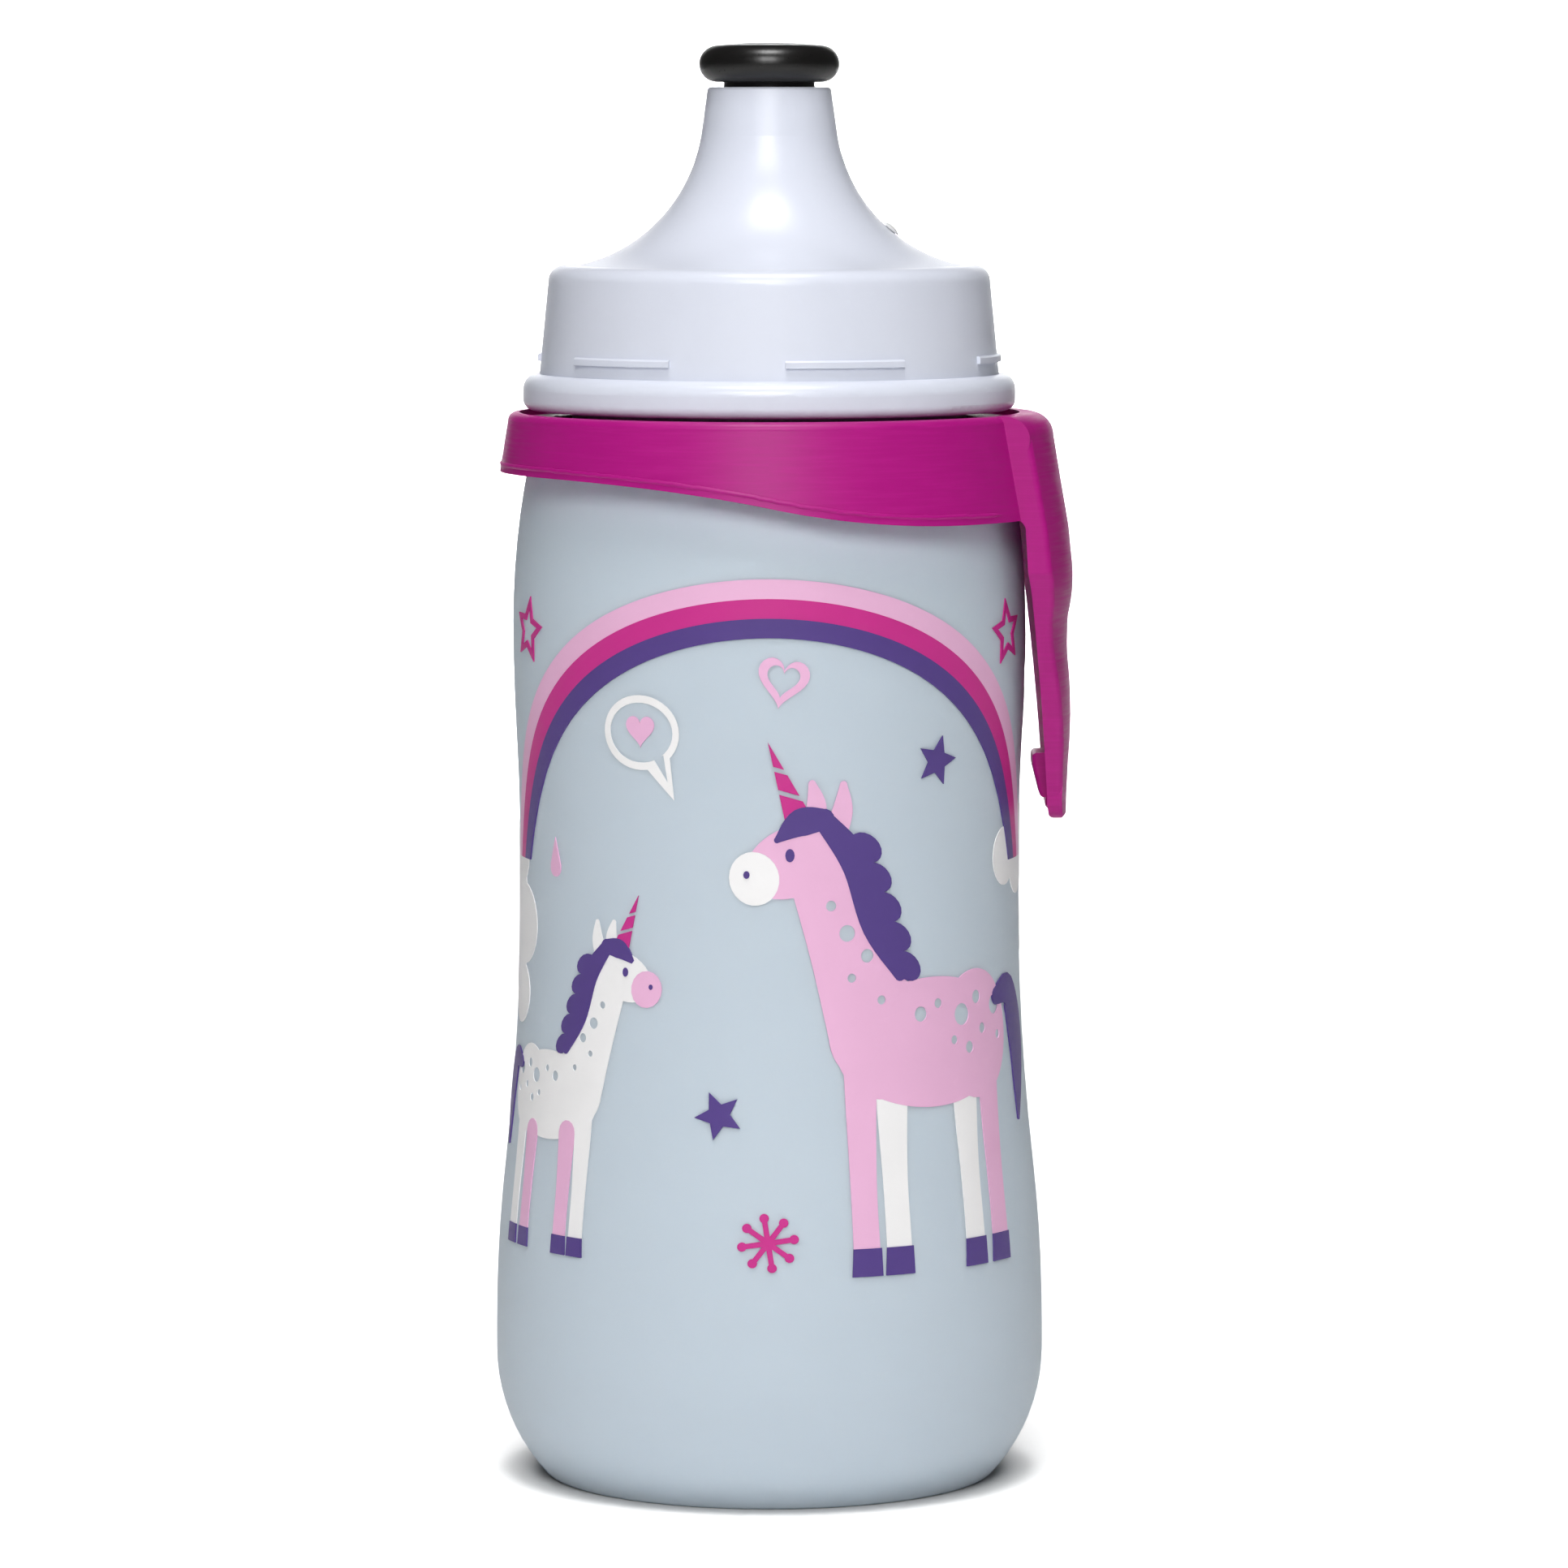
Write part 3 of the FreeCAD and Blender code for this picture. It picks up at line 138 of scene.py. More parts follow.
class BottleStage(bpy.types.PropertyGroup):
    distance: length("Distance", "Camera to the bottle's axis", 900.0)
    height: length("Height", "Camera above the floor", 168.8)
    aside: length("Aside", "Camera to the right of the axis", 1.8)
    tilt: bpy.props.FloatProperty(
        name="Tilt", description="Camera down from level", subtype="ANGLE", default=math.radians(5.3)
    )
    lens: bpy.props.FloatProperty(
        name="Lens", description="Focal length", subtype="DISTANCE_CAMERA", default=168.4
    )
    paper: colour("Paper", "Floor and backdrop", "CFCFCF")
    backdrop: length("Backdrop", "Backdrop behind the bottle's axis", 1450.0)
    key_power: bpy.props.FloatProperty(
        name="Key light", description="Power of the soft box in front", subtype="POWER", default=7.3
    )
    top_power: bpy.props.FloatProperty(
        name="Top light", description="Power of the soft box above", subtype="POWER", default=4.6
    )
    paper_strength: bpy.props.FloatProperty(
        name="Paper light", description="Strength of the light that falls on the paper only", default=4.4
    )
    back_power: bpy.props.FloatProperty(
        name="Backdrop lights", description="Power of each light behind", subtype="POWER", default=3.0
    )
    ambient: bpy.props.FloatProperty(name="Ambient", description="Light from all round", default=0.06)
    seen: bpy.props.FloatProperty(
        name="Surroundings", description="How bright the room looks to the camera", default=0.9
    )


# ---------------------------------------------------------------- shader nodes
def add_node(owner, kind, settings=None, links=None):
    """Adds a node to a material or world. Settings are properties or input values; links are
    input: (node, output)."""
    tree = owner.node_tree
    node = tree.nodes.new(kind)
    for key, value in (settings or {}).items():
        if isinstance(key, str) and hasattr(node, key):
            setattr(node, key, value)
        else:
            node.inputs[key].default_value = value
    for key, (source, output) in (links or {}).items():
        tree.links.new(source.outputs[output], node.inputs[key])
    return node


def new_plastic(name, tint, **values):
    """A material with one Principled shader and its uniform values set on it."""
    material = bpy.data.materials.new(name)
    material.use_nodes = True
    shader = material.node_tree.nodes["Principled BSDF"]
    shader.inputs["Base Color"].default_value = (*tint, 1.0)
    for key, value in values.items():
        shader.inputs[key.replace("_", " ")].default_value = value
    return material, shader


# Sockets of the Mix node when it mixes colours.
MIX_FIRST, MIX_SECOND, MIX_RESULT = 6, 7, 2


def two_tone(material, shader, first, second, factor):
    """Base colour between two tints, by a factor given as (node, output)."""
    blend = add_node(material, "ShaderNodeMix", {"data_type": "RGBA"}, {"Factor": factor})
    blend.inputs[MIX_FIRST].default_value = (*first, 1.0)
    blend.inputs[MIX_SECOND].default_value = (*second, 1.0)
    material.node_tree.links.new(blend.outputs[MIX_RESULT], shader.inputs["Base Color"])


def mottle(material, shader, tint, share, width):
    """Colour that varies softly by share over patches of that width, in metres."""
    place = add_node(material, "ShaderNodeTexCoord")
    cloud = add_node(
        material, "ShaderNodeTexNoise", {"Scale": 1.0 / width, "Detail": 2.0}, {"Vector": (place, "Object")}
    )
    darker = [c * (1.0 - share) for c in tint]
    paler = [min(1.0, c * (1.0 + share)) for c in tint]
    two_tone(material, shader, darker, paler, (cloud, "Fac"))
    return place


def grain(material, shader, place, width, height, roughness, spread):
    """Fine mould texture: bumps of that width and height, and roughness that varies with it."""
    speckle = add_node(
        material, "ShaderNodeTexNoise", {"Scale": 1.0 / width, "Detail": 3.0}, {"Vector": (place, "Object")}
    )
    bump = add_node(
        material, "ShaderNodeBump", {"Strength": 1.0, "Distance": height}, {"Height": (speckle, "Fac")}
    )
    rough = add_node(
        material,
        "ShaderNodeMapRange",
        {"To Min": roughness - spread, "To Max": roughness + spread},
        {"Value": (speckle, "Fac")},
    )
    material.node_tree.links.new(bump.outputs["Normal"], shader.inputs["Normal"])
    material.node_tree.links.new(rough.outputs["Result"], shader.inputs["Roughness"])


def satin_blown_polypropylene(finish):
    """Translucent polypropylene, blown in a sand-blasted mould: light spreads in the wall,
    which softens its edges, and highlights stay broad."""
    tint = tuple(finish.bottle)
    material, shader = new_plastic(
        "satin_blown_polypropylene",
        tint,
        IOR=1.49,
        Subsurface_Weight=0.55,
        Subsurface_Radius=(1.0, 1.0, 1.0),
        Subsurface_Scale=2.2 * MM,
        Specular_IOR_Level=0.35,
    )
    place = mottle(material, shader, tint, share=0.012, width=14 * MM)
    grain(material, shader, place, width=finish.grain, height=0.006 * MM, roughness=0.44, spread=0.05)
    return material


def glossy_moulded_polypropylene(finish):
    """Nearly opaque, cool white polypropylene from a polished mould: smooth with a wide soft
    shine and faint flow streaks that run up and down."""
    tint = tuple(finish.lid)
    material, shader = new_plastic(
        "glossy_moulded_polypropylene",
        tint,
        IOR=1.49,
        Subsurface_Weight=0.15,
        Subsurface_Radius=(1.0, 1.0, 1.0),
        Subsurface_Scale=1.0 * MM,
    )
    streak_width = 6 * MM
    squeeze = 0.12
    place = add_node(material, "ShaderNodeTexCoord")
    stretch = add_node(
        material, "ShaderNodeMapping", {"Scale": (1.0, 1.0, squeeze)}, {"Vector": (place, "Object")}
    )
    streak = add_node(
        material,
        "ShaderNodeTexNoise",
        {"Scale": 1.0 / streak_width, "Detail": 3.0},
        {"Vector": (stretch, "Vector")},
    )
    darker = 0.97
    two_tone(material, shader, [c * darker for c in tint], tint, (streak, "Fac"))
    rough = add_node(
        material, "ShaderNodeMapRange", {"To Min": 0.26, "To Max": 0.36}, {"Value": (streak, "Fac")}
    )
    bump = add_node(
        material, "ShaderNodeBump", {"Strength": 1.0, "Distance": 0.02 * MM}, {"Height": (streak, "Fac")}
    )
    tree = material.node_tree
    tree.links.new(rough.outputs["Result"], shader.inputs["Roughness"])
    tree.links.new(bump.outputs["Normal"], shader.inputs["Normal"])
    return material


def scuffed_moulded_polypropylene(finish):
    """Deep magenta polypropylene with a fine moulded grain: satin, with thin scuffs that run
    round the band where it is turned and rubbed."""
    tint = tuple(finish.band)
    material, shader = new_plastic(
        "scuffed_moulded_polypropylene", tint, IOR=1.49, Specular_IOR_Level=0.3
    )
    place = add_node(material, "ShaderNodeTexCoord")
    part = add_node(material, "ShaderNodeSeparateXYZ", None, {"Vector": (place, "Object")})
    angle = add_node(material, "ShaderNodeMath", {"operation": "ARCTAN2"})
    tree = material.node_tree
    tree.links.new(part.outputs["X"], angle.inputs[0])
    tree.links.new(part.outputs["Y"], angle.inputs[1])
    around = add_node(
        material, "ShaderNodeMath", {"operation": "MULTIPLY", 1: DRUM_RADIUS * MM / finish.scuff}
    )
    tree.links.new(angle.outputs[0], around.inputs[0])
    scuff_width = 0.4 * MM
    upward = add_node(material, "ShaderNodeMath", {"operation": "MULTIPLY", 1: 1.0 / scuff_width})
    tree.links.new(part.outputs["Z"], upward.inputs[0])
    flat = add_node(material, "ShaderNodeCombineXYZ", None, {"X": (around, 0), "Y": (upward, 0)})
    scuff = add_node(
        material,
        "ShaderNodeTexNoise",
        {"Scale": 1.0, "Detail": 4.0, "Roughness": 0.65},
        {"Vector": (flat, 0)},
    )
    rough = add_node(
        material,
        "ShaderNodeMapRange",
        {"From Min": 0.3, "From Max": 0.75, "To Min": 0.34, "To Max": 0.52},
        {"Value": (scuff, "Fac")},
    )
    pale = add_node(
        material,
        "ShaderNodeMapRange",
        {"From Min": 0.45, "From Max": 0.85, "To Min": 0.0, "To Max": 0.35},
        {"Value": (scuff, "Fac")},
    )
    paler, lift = 1.5, 0.01
    rubbed = [min(1.0, c * paler + lift) for c in tint]
    two_tone(material, shader, tint, rubbed, (pale, "Result"))
    bump = add_node(
        material, "ShaderNodeBump", {"Strength": 0.6, "Distance": 0.01 * MM}, {"Height": (scuff, "Fac")}
    )
    tree.links.new(rough.outputs["Result"], shader.inputs["Roughness"])
    tree.links.new(bump.outputs["Normal"], shader.inputs["Normal"])
    return material


def moulded_thermoplastic_rubber(finish):
    """Soft black thermoplastic rubber: a smooth skin with a broad, slightly greyed shine."""
    tint = tuple(finish.mouthpiece)
    material, shader = new_plastic(
        "moulded_thermoplastic_rubber", tint, IOR=1.5, Specular_IOR_Level=0.45
    )
    place = mottle(material, shader, tint, share=0.15, width=3 * MM)
    grain(material, shader, place, width=0.4 * MM, height=0.008 * MM, roughness=0.3, spread=0.06)
    return material


def black_moulded_polypropylene(finish):
    """Black polypropylene from a fine-textured mould: deep and even, with a soft shine that
    is a little cleaner than the rubber's."""
    tint = tuple(finish.tube)
    material, shader = new_plastic("black_moulded_polypropylene", tint, IOR=1.49)
    place = mottle(material, shader, tint, share=0.1, width=3 * MM)
    grain(material, shader, place, width=0.4 * MM, height=0.004 * MM, roughness=0.28, spread=0.05)
    return material


def white_moulded_polypropylene(finish):
    """White polypropylene in thin arms: bright and milky, with light spreading through them."""
    tint = tuple(finish.cage)
    material, shader = new_plastic(
        "white_moulded_polypropylene",
        tint,
        IOR=1.49,
        Subsurface_Weight=0.7,
        Subsurface_Radius=(1.0, 0.95, 0.85),
        Subsurface_Scale=1.5 * MM,
    )
    place = mottle(material, shader, tint, share=0.02, width=4 * MM)
    grain(material, shader, place, width=0.5 * MM, height=0.004 * MM, roughness=0.32, spread=0.05)
    return material


def cured_silicone_rubber(finish):
    """Pale silicone: dull and slightly greasy, with light spreading in it."""
    tint = tuple(finish.seal)
    material, shader = new_plastic(
        "cured_silicone_rubber",
        tint,
        IOR=1.41,
        Subsurface_Weight=0.8,
        Subsurface_Radius=(1.0, 1.0, 1.0),
        Subsurface_Scale=1.0 * MM,
    )
    place = mottle(material, shader, tint, share=0.03, width=2 * MM)
    grain(material, shader, place, width=0.3 * MM, height=0.004 * MM, roughness=0.42, spread=0.06)
    return material


def screen_printed_ink(name, tint):
    """Cured screen ink: even, a little glossier than the wall, with the faint weave that the
    screen leaves, drawn at 0.5 mm, coarser than a real screen, so that it shows."""
    material, shader = new_plastic(name, tint, IOR=1.5, Specular_IOR_Level=0.4)
    place = mottle(material, shader, tint, share=0.02, width=5 * MM)
    grain(material, shader, place, width=0.5 * MM, height=0.004 * MM, roughness=0.4, spread=0.04)
    return material


# ---------------------------------------------------------------- the bottle's side
def tree_of(node):
    """Search tree of a carried-over moulding's faces."""
    mesh = NODES[node].data
    return BVHTree.FromPolygons([v.co for v in mesh.vertices], [tuple(p.vertices) for p in mesh.polygons])


def reach(tree, angle, height):
    """Radius of the outermost surface in that direction from +X, or None."""
    clear = 100 * MM
    outward = Vector((math.cos(angle), math.sin(angle), 0.0))
    start = outward * clear + Vector((0.0, 0.0, height))
    hit = tree.ray_cast(start, -outward, clear)[0]
    return math.hypot(hit.x, hit.y) if hit else None


class BottleSide:
    """Outer radius of the bottle at any height, read off its own moulding up to just above
    the band's lower edge and smoothed a little."""

    step = 1.0 * MM
    spokes = 60
    steps_behind_band = 4
    smoothings = 2

    def __init__(self):
        tree = tree_of("bottle")
        self.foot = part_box("bottle")[0].z + self.step
        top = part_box("carry_band")[0].z + self.steps_behind_band * self.step
        levels = int((top - self.foot) / self.step)
        radii = [self.widest(tree, self.foot + k * self.step) for k in range(levels)]
        for _ in range(self.smoothings):
            inner = [(a + 2 * b + c) / 4 for a, b, c in zip(radii, radii[1:], radii[2:])]
            radii = [radii[0], *inner, radii[-1]]
        self.radii = radii

    def widest(self, tree, height):
        """Largest radius all round at that height."""
        return max(reach(tree, TURN * k / self.spokes, height) or 0.0 for k in range(self.spokes))

    def radius(self, height):
        """Radius at that height, between the two nearest levels."""
        level = (height - self.foot) / self.step
        low = max(0, min(len(self.radii) - 2, int(level)))
        share = max(0.0, min(1.0, level - low))
        return self.radii[low] * (1.0 - share) + self.radii[low + 1] * share

    def wrap(self, along, up, lift):
        """Place on the side of a point of the flat artwork (millimetres), lifted by metres."""
        radius = self.radius(up * MM) + lift
        angle = along / DRUM_RADIUS
        return Vector((radius * math.sin(angle), -radius * math.cos(angle), up * MM))


# ---------------------------------------------------------------- flat shapes, in millimetres
def placed(points, x, y, turn=0.0):
    """Points turned by that many degrees and moved to x, y."""
    c, s = math.cos(math.radians(turn)), math.sin(math.radians(turn))
    return [(x + c * a - s * b, y + s * a + c * b) for a, b in points]


def oval(x, y, half_width, half_height=None, turn=0.0):
    """Ellipse, or a circle if only one half size is given."""
    fewest, chord = 14, 0.8
    half_height = half_width if half_height is None else half_height
    count = max(fewest, int(TURN * max(half_width, half_height) / chord))
    ring = [(half_width * math.cos(TURN * k / count), half_height * math.sin(TURN * k / count))
            for k in range(count)]
    return placed(ring, x, y, turn)


def star(x, y, size, turn=0.0, waist=0.46):
    """Five-pointed star; waist is its inner radius as a share of its size."""
    corners = 10
    tips = []
    for k in range(corners):
        radius = size if k % 2 == 0 else size * waist
        angle = TURN * k / corners + math.pi / 2
        tips.append((radius * math.cos(angle), radius * math.sin(angle)))
    return placed(tips, x, y, turn)


def heart(x, y, size, turn=0.0):
    """Heart of that half width, on the usual heart curve of sines and cosines."""
    count = 40
    points = []
    for k in range(count):
        t = TURN * k / count
        a = size * math.sin(t) ** 3
        b = size * (13 * math.cos(t) - 5 * math.cos(2 * t) - 2 * math.cos(3 * t) - math.cos(4 * t)) / 15
        points.append((a, b))
    return placed(points, x, y, turn)


def drop(x, y, size):
    """Drop with its point upwards; size is the radius of its round end."""
    count = 24
    angles = [TURN * k / count for k in range(count // 2 + 1, count)]
    bowl = [(size * math.cos(angle), size * math.sin(angle)) for angle in angles]
    tip, cheek, cheek_height = 3.0 * size, 0.96 * size, 0.25 * size
    return placed([(0.0, tip), (-cheek, cheek_height), *bowl, (cheek, cheek_height)], x, y)


def between(p, q, r, s, t):
    """Catmull-Rom value at the share t of the way from q to r, with p before and s after them."""
    bend = (2 * p - 5 * q + 4 * r - s) * t * t
    twist = (3 * q - p - 3 * r + s) * t ** 3
    return 0.5 * (2 * q + (r - p) * t + bend + twist)


def smooth_path(knots):
    """Smooth curve through knots of any length of tuple."""
    steps = 6
    ends = [knots[0], *knots, knots[-1]]
    path = []
    for stretch in zip(ends, ends[1:], ends[2:], ends[3:]):
        for k in range(steps):
            path.append(tuple(between(*values, k / steps) for values in zip(*stretch)))
    path.append(tuple(float(v) for v in knots[-1]))
    return path


def brush(*knots):
    """Stroke through (x, y, half width) knots, with a round end wherever it is wide."""
    wide = 0.3
    path = smooth_path(knots)
    left, right = [], []
    last = len(path) - 1
    for k, (x, y, half) in enumerate(path):
        (x0, y0, _), (x1, y1, _) = path[max(0, k - 1)], path[min(last, k + 1)]
        span = math.hypot(x1 - x0, y1 - y0)
        nx, ny = (y0 - y1) / span, (x1 - x0) / span
        left.append((x + nx * half, y + ny * half))
        right.append((x - nx * half, y - ny * half))
    caps = [oval(*path[k]) for k in (0, last) if path[k][2] > wide]
    return [left + right[::-1], *caps]


def arch(x, foot_height, half_width, height, low):
    """Area under half an ellipse that stands on foot_height, down to the level low."""
    count = 72
    lean = math.asin(min(1.0, max(-1.0, (low - foot_height) / height)))
    points = []
    for k in range(count + 1):
        angle = lean + (math.pi - 2 * lean) * k / count
        points.append((x + half_width * math.cos(angle), foot_height + height * math.sin(angle)))
    return points


def cloud(x, y, size, lobes):
    """Cloud of round lobes, each (across, up, radius) in shares of its size."""
    return [oval(x + size * a, y + size * b, size * r) for a, b, r in lobes]


# Lobes of a low, wide cloud and of a tall one.
BANK = ((-0.62, -0.1, 0.42), (-0.15, 0.22, 0.5), (0.4, 0.1, 0.46), (0.72, -0.2, 0.34), (0.05, -0.25, 0.45))
TOWER = ((0.0, 0.95, 0.42), (-0.18, 0.4, 0.5), (0.22, 0.0, 0.55), (-0.2, -0.45, 0.5), (0.1, -0.95, 0.42))


# ---------------------------------------------------------------- the artwork
class Artwork:
    """Motifs of the four inks, on the flat. A motif is its marks and the gaps cut from them."""

    inks = ("white", "pink", "magenta", "purple")
    stripes = ("pink", "magenta", "purple")
    star_hollow = 0.66
    heart_hollow = 0.64

    def __init__(self):
        self.motifs = {ink: [] for ink in self.inks}

    def add(self, ink, marks, gaps=()):
        self.motifs[ink].append((list(marks), list(gaps)))

    def rainbow(self, middle):
        """Three stripes between half ellipses. From the outermost to the innermost they sink
        and narrow, and they grow a little taller."""
        count = len(self.stripes)
        foot, half_width, height = 70.5, 46.0, 42.1
        sink, narrowing, growth = 8.5, 4.5, 1.5
        low = 77.0
        edges = []
        for k in range(count + 1):
            share = k / count
            edges.append(arch(
                middle, foot - sink * share, half_width - narrowing * share, height + growth * share, low
            ))
        for ink, outer, inner in zip(self.stripes, edges, edges[1:]):
            self.add(ink, [outer], [inner])

    def outline_star(self, ink, x, y, size, turn):
        self.add(ink, [star(x, y, size, turn, waist=0.5)], [star(x, y, size * self.star_hollow, turn)])

    def outline_heart(self, ink, x, y, size, turn):
        raised = y + 0.02 * size
        self.add(ink, [heart(x, y, size, turn)], [heart(x, raised, size * self.heart_hollow, turn)])

    def burst(self, ink, x, y, size):
        """Eight thin arms with round ends, turned a little off upright."""
        arms, lean = 8, 0.15
        root, shaft, end = 0.34, 0.31, 0.55
        marks = []
        for k in range(arms):
            angle = TURN * k / arms + lean
            a, b = size * math.cos(angle), size * math.sin(angle)
            marks += brush((x, y, root), (x + 0.5 * a, y + 0.5 * b, shaft), (x + a, y + b, shaft))
            marks.append(oval(x + a, y + b, end))
        self.add(ink, marks)

    def bubble(self, ink, x, y):
        """Outline of a speech bubble, with its tail down to the right."""
        tail = [(x + 0.4, y - 3.9), (x + 3.9, y - 2.6), (x + 4.4, y - 8.0)]
        hollow = [(x + 1.8, y - 3.2), (x + 3.1, y - 2.6), (x + 3.6, y - 5.9)]
        self.add(ink, [oval(x, y, 5.2, 4.5), tail], [oval(x, y, 4.35, 3.6), hollow])

    def pony(self, x, y, scale, facing, coat, accent, spots):
        """A plain toy pony of ovals and brush strokes. It stands on y; facing is 1 for +x."""

        def at(a, b):
            return x + facing * scale * a, y + scale * b

        def stroke(*knots):
            return brush(*((*at(a, b), scale * half) for a, b, half in knots))

        def blob(a, b, half_width, half_height, turn=0.0):
            return oval(*at(a, b), scale * half_width, scale * half_height, facing * turn)

        def hoof(a, rise=0.0):
            return [at(a + u, v + rise) for u, v in ((-2.2, 0.0), (1.8, 0.0), (1.6, 3.6), (-2.1, 3.6))]

        def leg(a, top):
            return stroke((a, top, 2.3), (a, 12.0, 1.75), (a - 0.2, 2.0, 1.75))

        def legs(places):
            return [part for place in places for part in leg(*place)]

        near, far = ((-10.2, 26.0), (11.6, 27.0)), ((-5.0, 22.0), (7.2, 23.0))
        soles = [hoof(a, -3.4) for a, _ in (*near, *far)]
        muzzle = blob(25.6, 51.4, 3.3, 3.5, -20.0)
        coat_marks = [
            *legs(near),
            blob(0.4, 29.5, 14.4, 8.4), blob(-8.0, 29.9, 7.4, 8.4), blob(8.6, 31.0, 6.6, 8.4),
            *stroke((9.4, 31.0, 6.4), (13.6, 42.0, 4.7), (17.0, 52.0, 4.1)),
            blob(20.4, 53.6, 6.6, 4.5, -22.0),
            *stroke((15.2, 56.0, 1.5), (13.9, 60.0, 1.4), (13.8, 63.4, 0.5)),
            *stroke((17.6, 57.0, 1.4), (17.4, 60.8, 1.3), (18.0, 63.6, 0.5)),
        ]
        self.add(coat, coat_marks, [*soles, muzzle, *(oval(*at(a, b), scale * r) for a, b, r in spots)])
        self.add(accent, [*legs(far), muzzle], soles)
        curls = [blob(10.6 - 1.5 * k, 55.2 - 3.9 * k, 2.5, 1.7, 35.0) for k in range(5)]
        self.add("purple", [
            *(hoof(a) for a, _ in (*near, *far)),
            *stroke((16.0, 58.4, 1.4), (11.8, 53.0, 2.1), (8.9, 45.0, 2.2), (5.6, 38.6, 0.9)), *curls,
            *stroke((16.4, 59.0, 1.4), (19.6, 58.6, 1.8), (22.6, 56.4, 0.4)),
            *stroke((-13.4, 34.2, 1.2), (-17.6, 34.4, 2.3), (-20.4, 27.4, 3.0), (-19.0, 17.6, 0.4)),
            blob(20.9, 54.4, 0.62, 0.86), blob(26.6, 51.9, 0.42, 0.5),
        ])
        horn = [at(18.4, 60.0), at(21.6, 59.0), at(23.8, 69.0)]
        rings = [
            [at(17.6, b - 0.5), at(25.0, b + 1.6), at(25.0, b + 2.2), at(17.6, b + 0.1)]
            for b in (61.4, 64.2)
        ]
        self.add("magenta", [horn], rings)


# Bare spots in a pony's coat: (across, up, radius), in its own units.
SPOTS = (
    (-12.6, 33.2, 1.3), (-8.2, 34.6, 0.9), (-5.0, 32.6, 1.45), (-9.4, 30.4, 0.7), (-3.4, 29.4, 0.6),
    (-6.4, 28.2, 0.8), (-0.6, 34.4, 0.65), (2.4, 33.2, 1.0), (10.4, 41.2, 0.9), (13.2, 44.2, 1.1),
    (12.6, 38.4, 0.6), (15.4, 47.8, 0.7), (8.4, 35.4, 0.6), (-13.4, 29.2, 0.6),
)


def front_artwork(art):
    """The side that faces the camera: a rainbow over two ponies, with small motifs round them."""
    art.rainbow(0.0)
    art.outline_heart("pink", 1.7, 100.6, 3.1, -10.0)
    art.bubble("white", -16.2, 94.0)
    art.add("pink", [heart(-16.2, 94.4, 1.95), drop(-31.4, 76.8, 1.2)])
    art.add("purple", [star(22.2, 90.3, 3.1, -14.0), star(-6.0, 48.4, 3.0, 24.0)])
    art.outline_star("magenta", 36.4, 105.0, 4.2, 8.0)
    art.outline_star("magenta", -37.4, 105.2, 4.2, -10.0)
    art.burst("magenta", -0.1, 33.3, 3.0)
    art.add("white", [*cloud(-43.5, 69.0, 9.0, TOWER), *cloud(43.0, 78.5, 8.6, BANK)])
    art.add("white", cloud(56.0, 99.0, 9.0, TOWER))
    art.pony(22.0, 29.0, 0.93, -1.0, "pink", "white", SPOTS)
    art.pony(-32.0, 30.2, 0.64, 1.0, "white", "pink", SPOTS)


def back_artwork(art):
    """The side that faces away: a second rainbow over a third pony."""
    art.rainbow(BACK)
    art.pony(BACK + 3.0, 29.0, 0.86, 1.0, "white", "pink", SPOTS)
    art.add("white", [*cloud(BACK + 44.0, 76.0, 9.0, BANK), *cloud(BACK - 44.5, 72.0, 8.4, TOWER)])
    art.outline_heart("pink", BACK - 8.0, 97.0, 3.2, 12.0)
    art.add("pink", [heart(BACK + 10.5, 93.0, 2.3, -14.0), drop(BACK - 27.0, 66.0, 1.2)])
    art.add("purple", [star(BACK - 22.0, 84.0, 3.0, 10.0), star(BACK + 28.0, 66.0, 2.8, -16.0)])
    art.add("purple", [star(-69.0, 38.0, 2.9, 12.0), star(70.5, 52.0, 2.9, -8.0)])
    art.outline_star("magenta", BACK - 33.5, 105.5, 4.2, 6.0)
    art.outline_star("magenta", -70.0, 89.0, 4.0, 14.0)
    art.burst("magenta", -58.0, 50.0, 3.0)
    art.burst("magenta", 58.5, 38.5, 3.0)
    art.burst("magenta", BACK - 22.0, 42.0, 2.8)
    art.outline_heart("pink", 56.0, 65.0, 3.0, 10.0)


# ---------------------------------------------------------------- new pieces
def new_piece(name, verts, faces, material, sharp=None):
    """A mesh object in the scene, shaded smooth but for edges past the angle sharp, if given."""
    mesh = bpy.data.meshes.new(name)
    mesh.from_pydata(verts, [], faces)
    mesh.validate()
    mesh.shade_smooth()
    if sharp is not None:
        mesh.set_sharp_from_angle(angle=sharp)
    mesh.materials.append(material)
    piece = bpy.data.objects.new(name, mesh)
    bpy.context.scene.collection.objects.link(piece)
    return piece


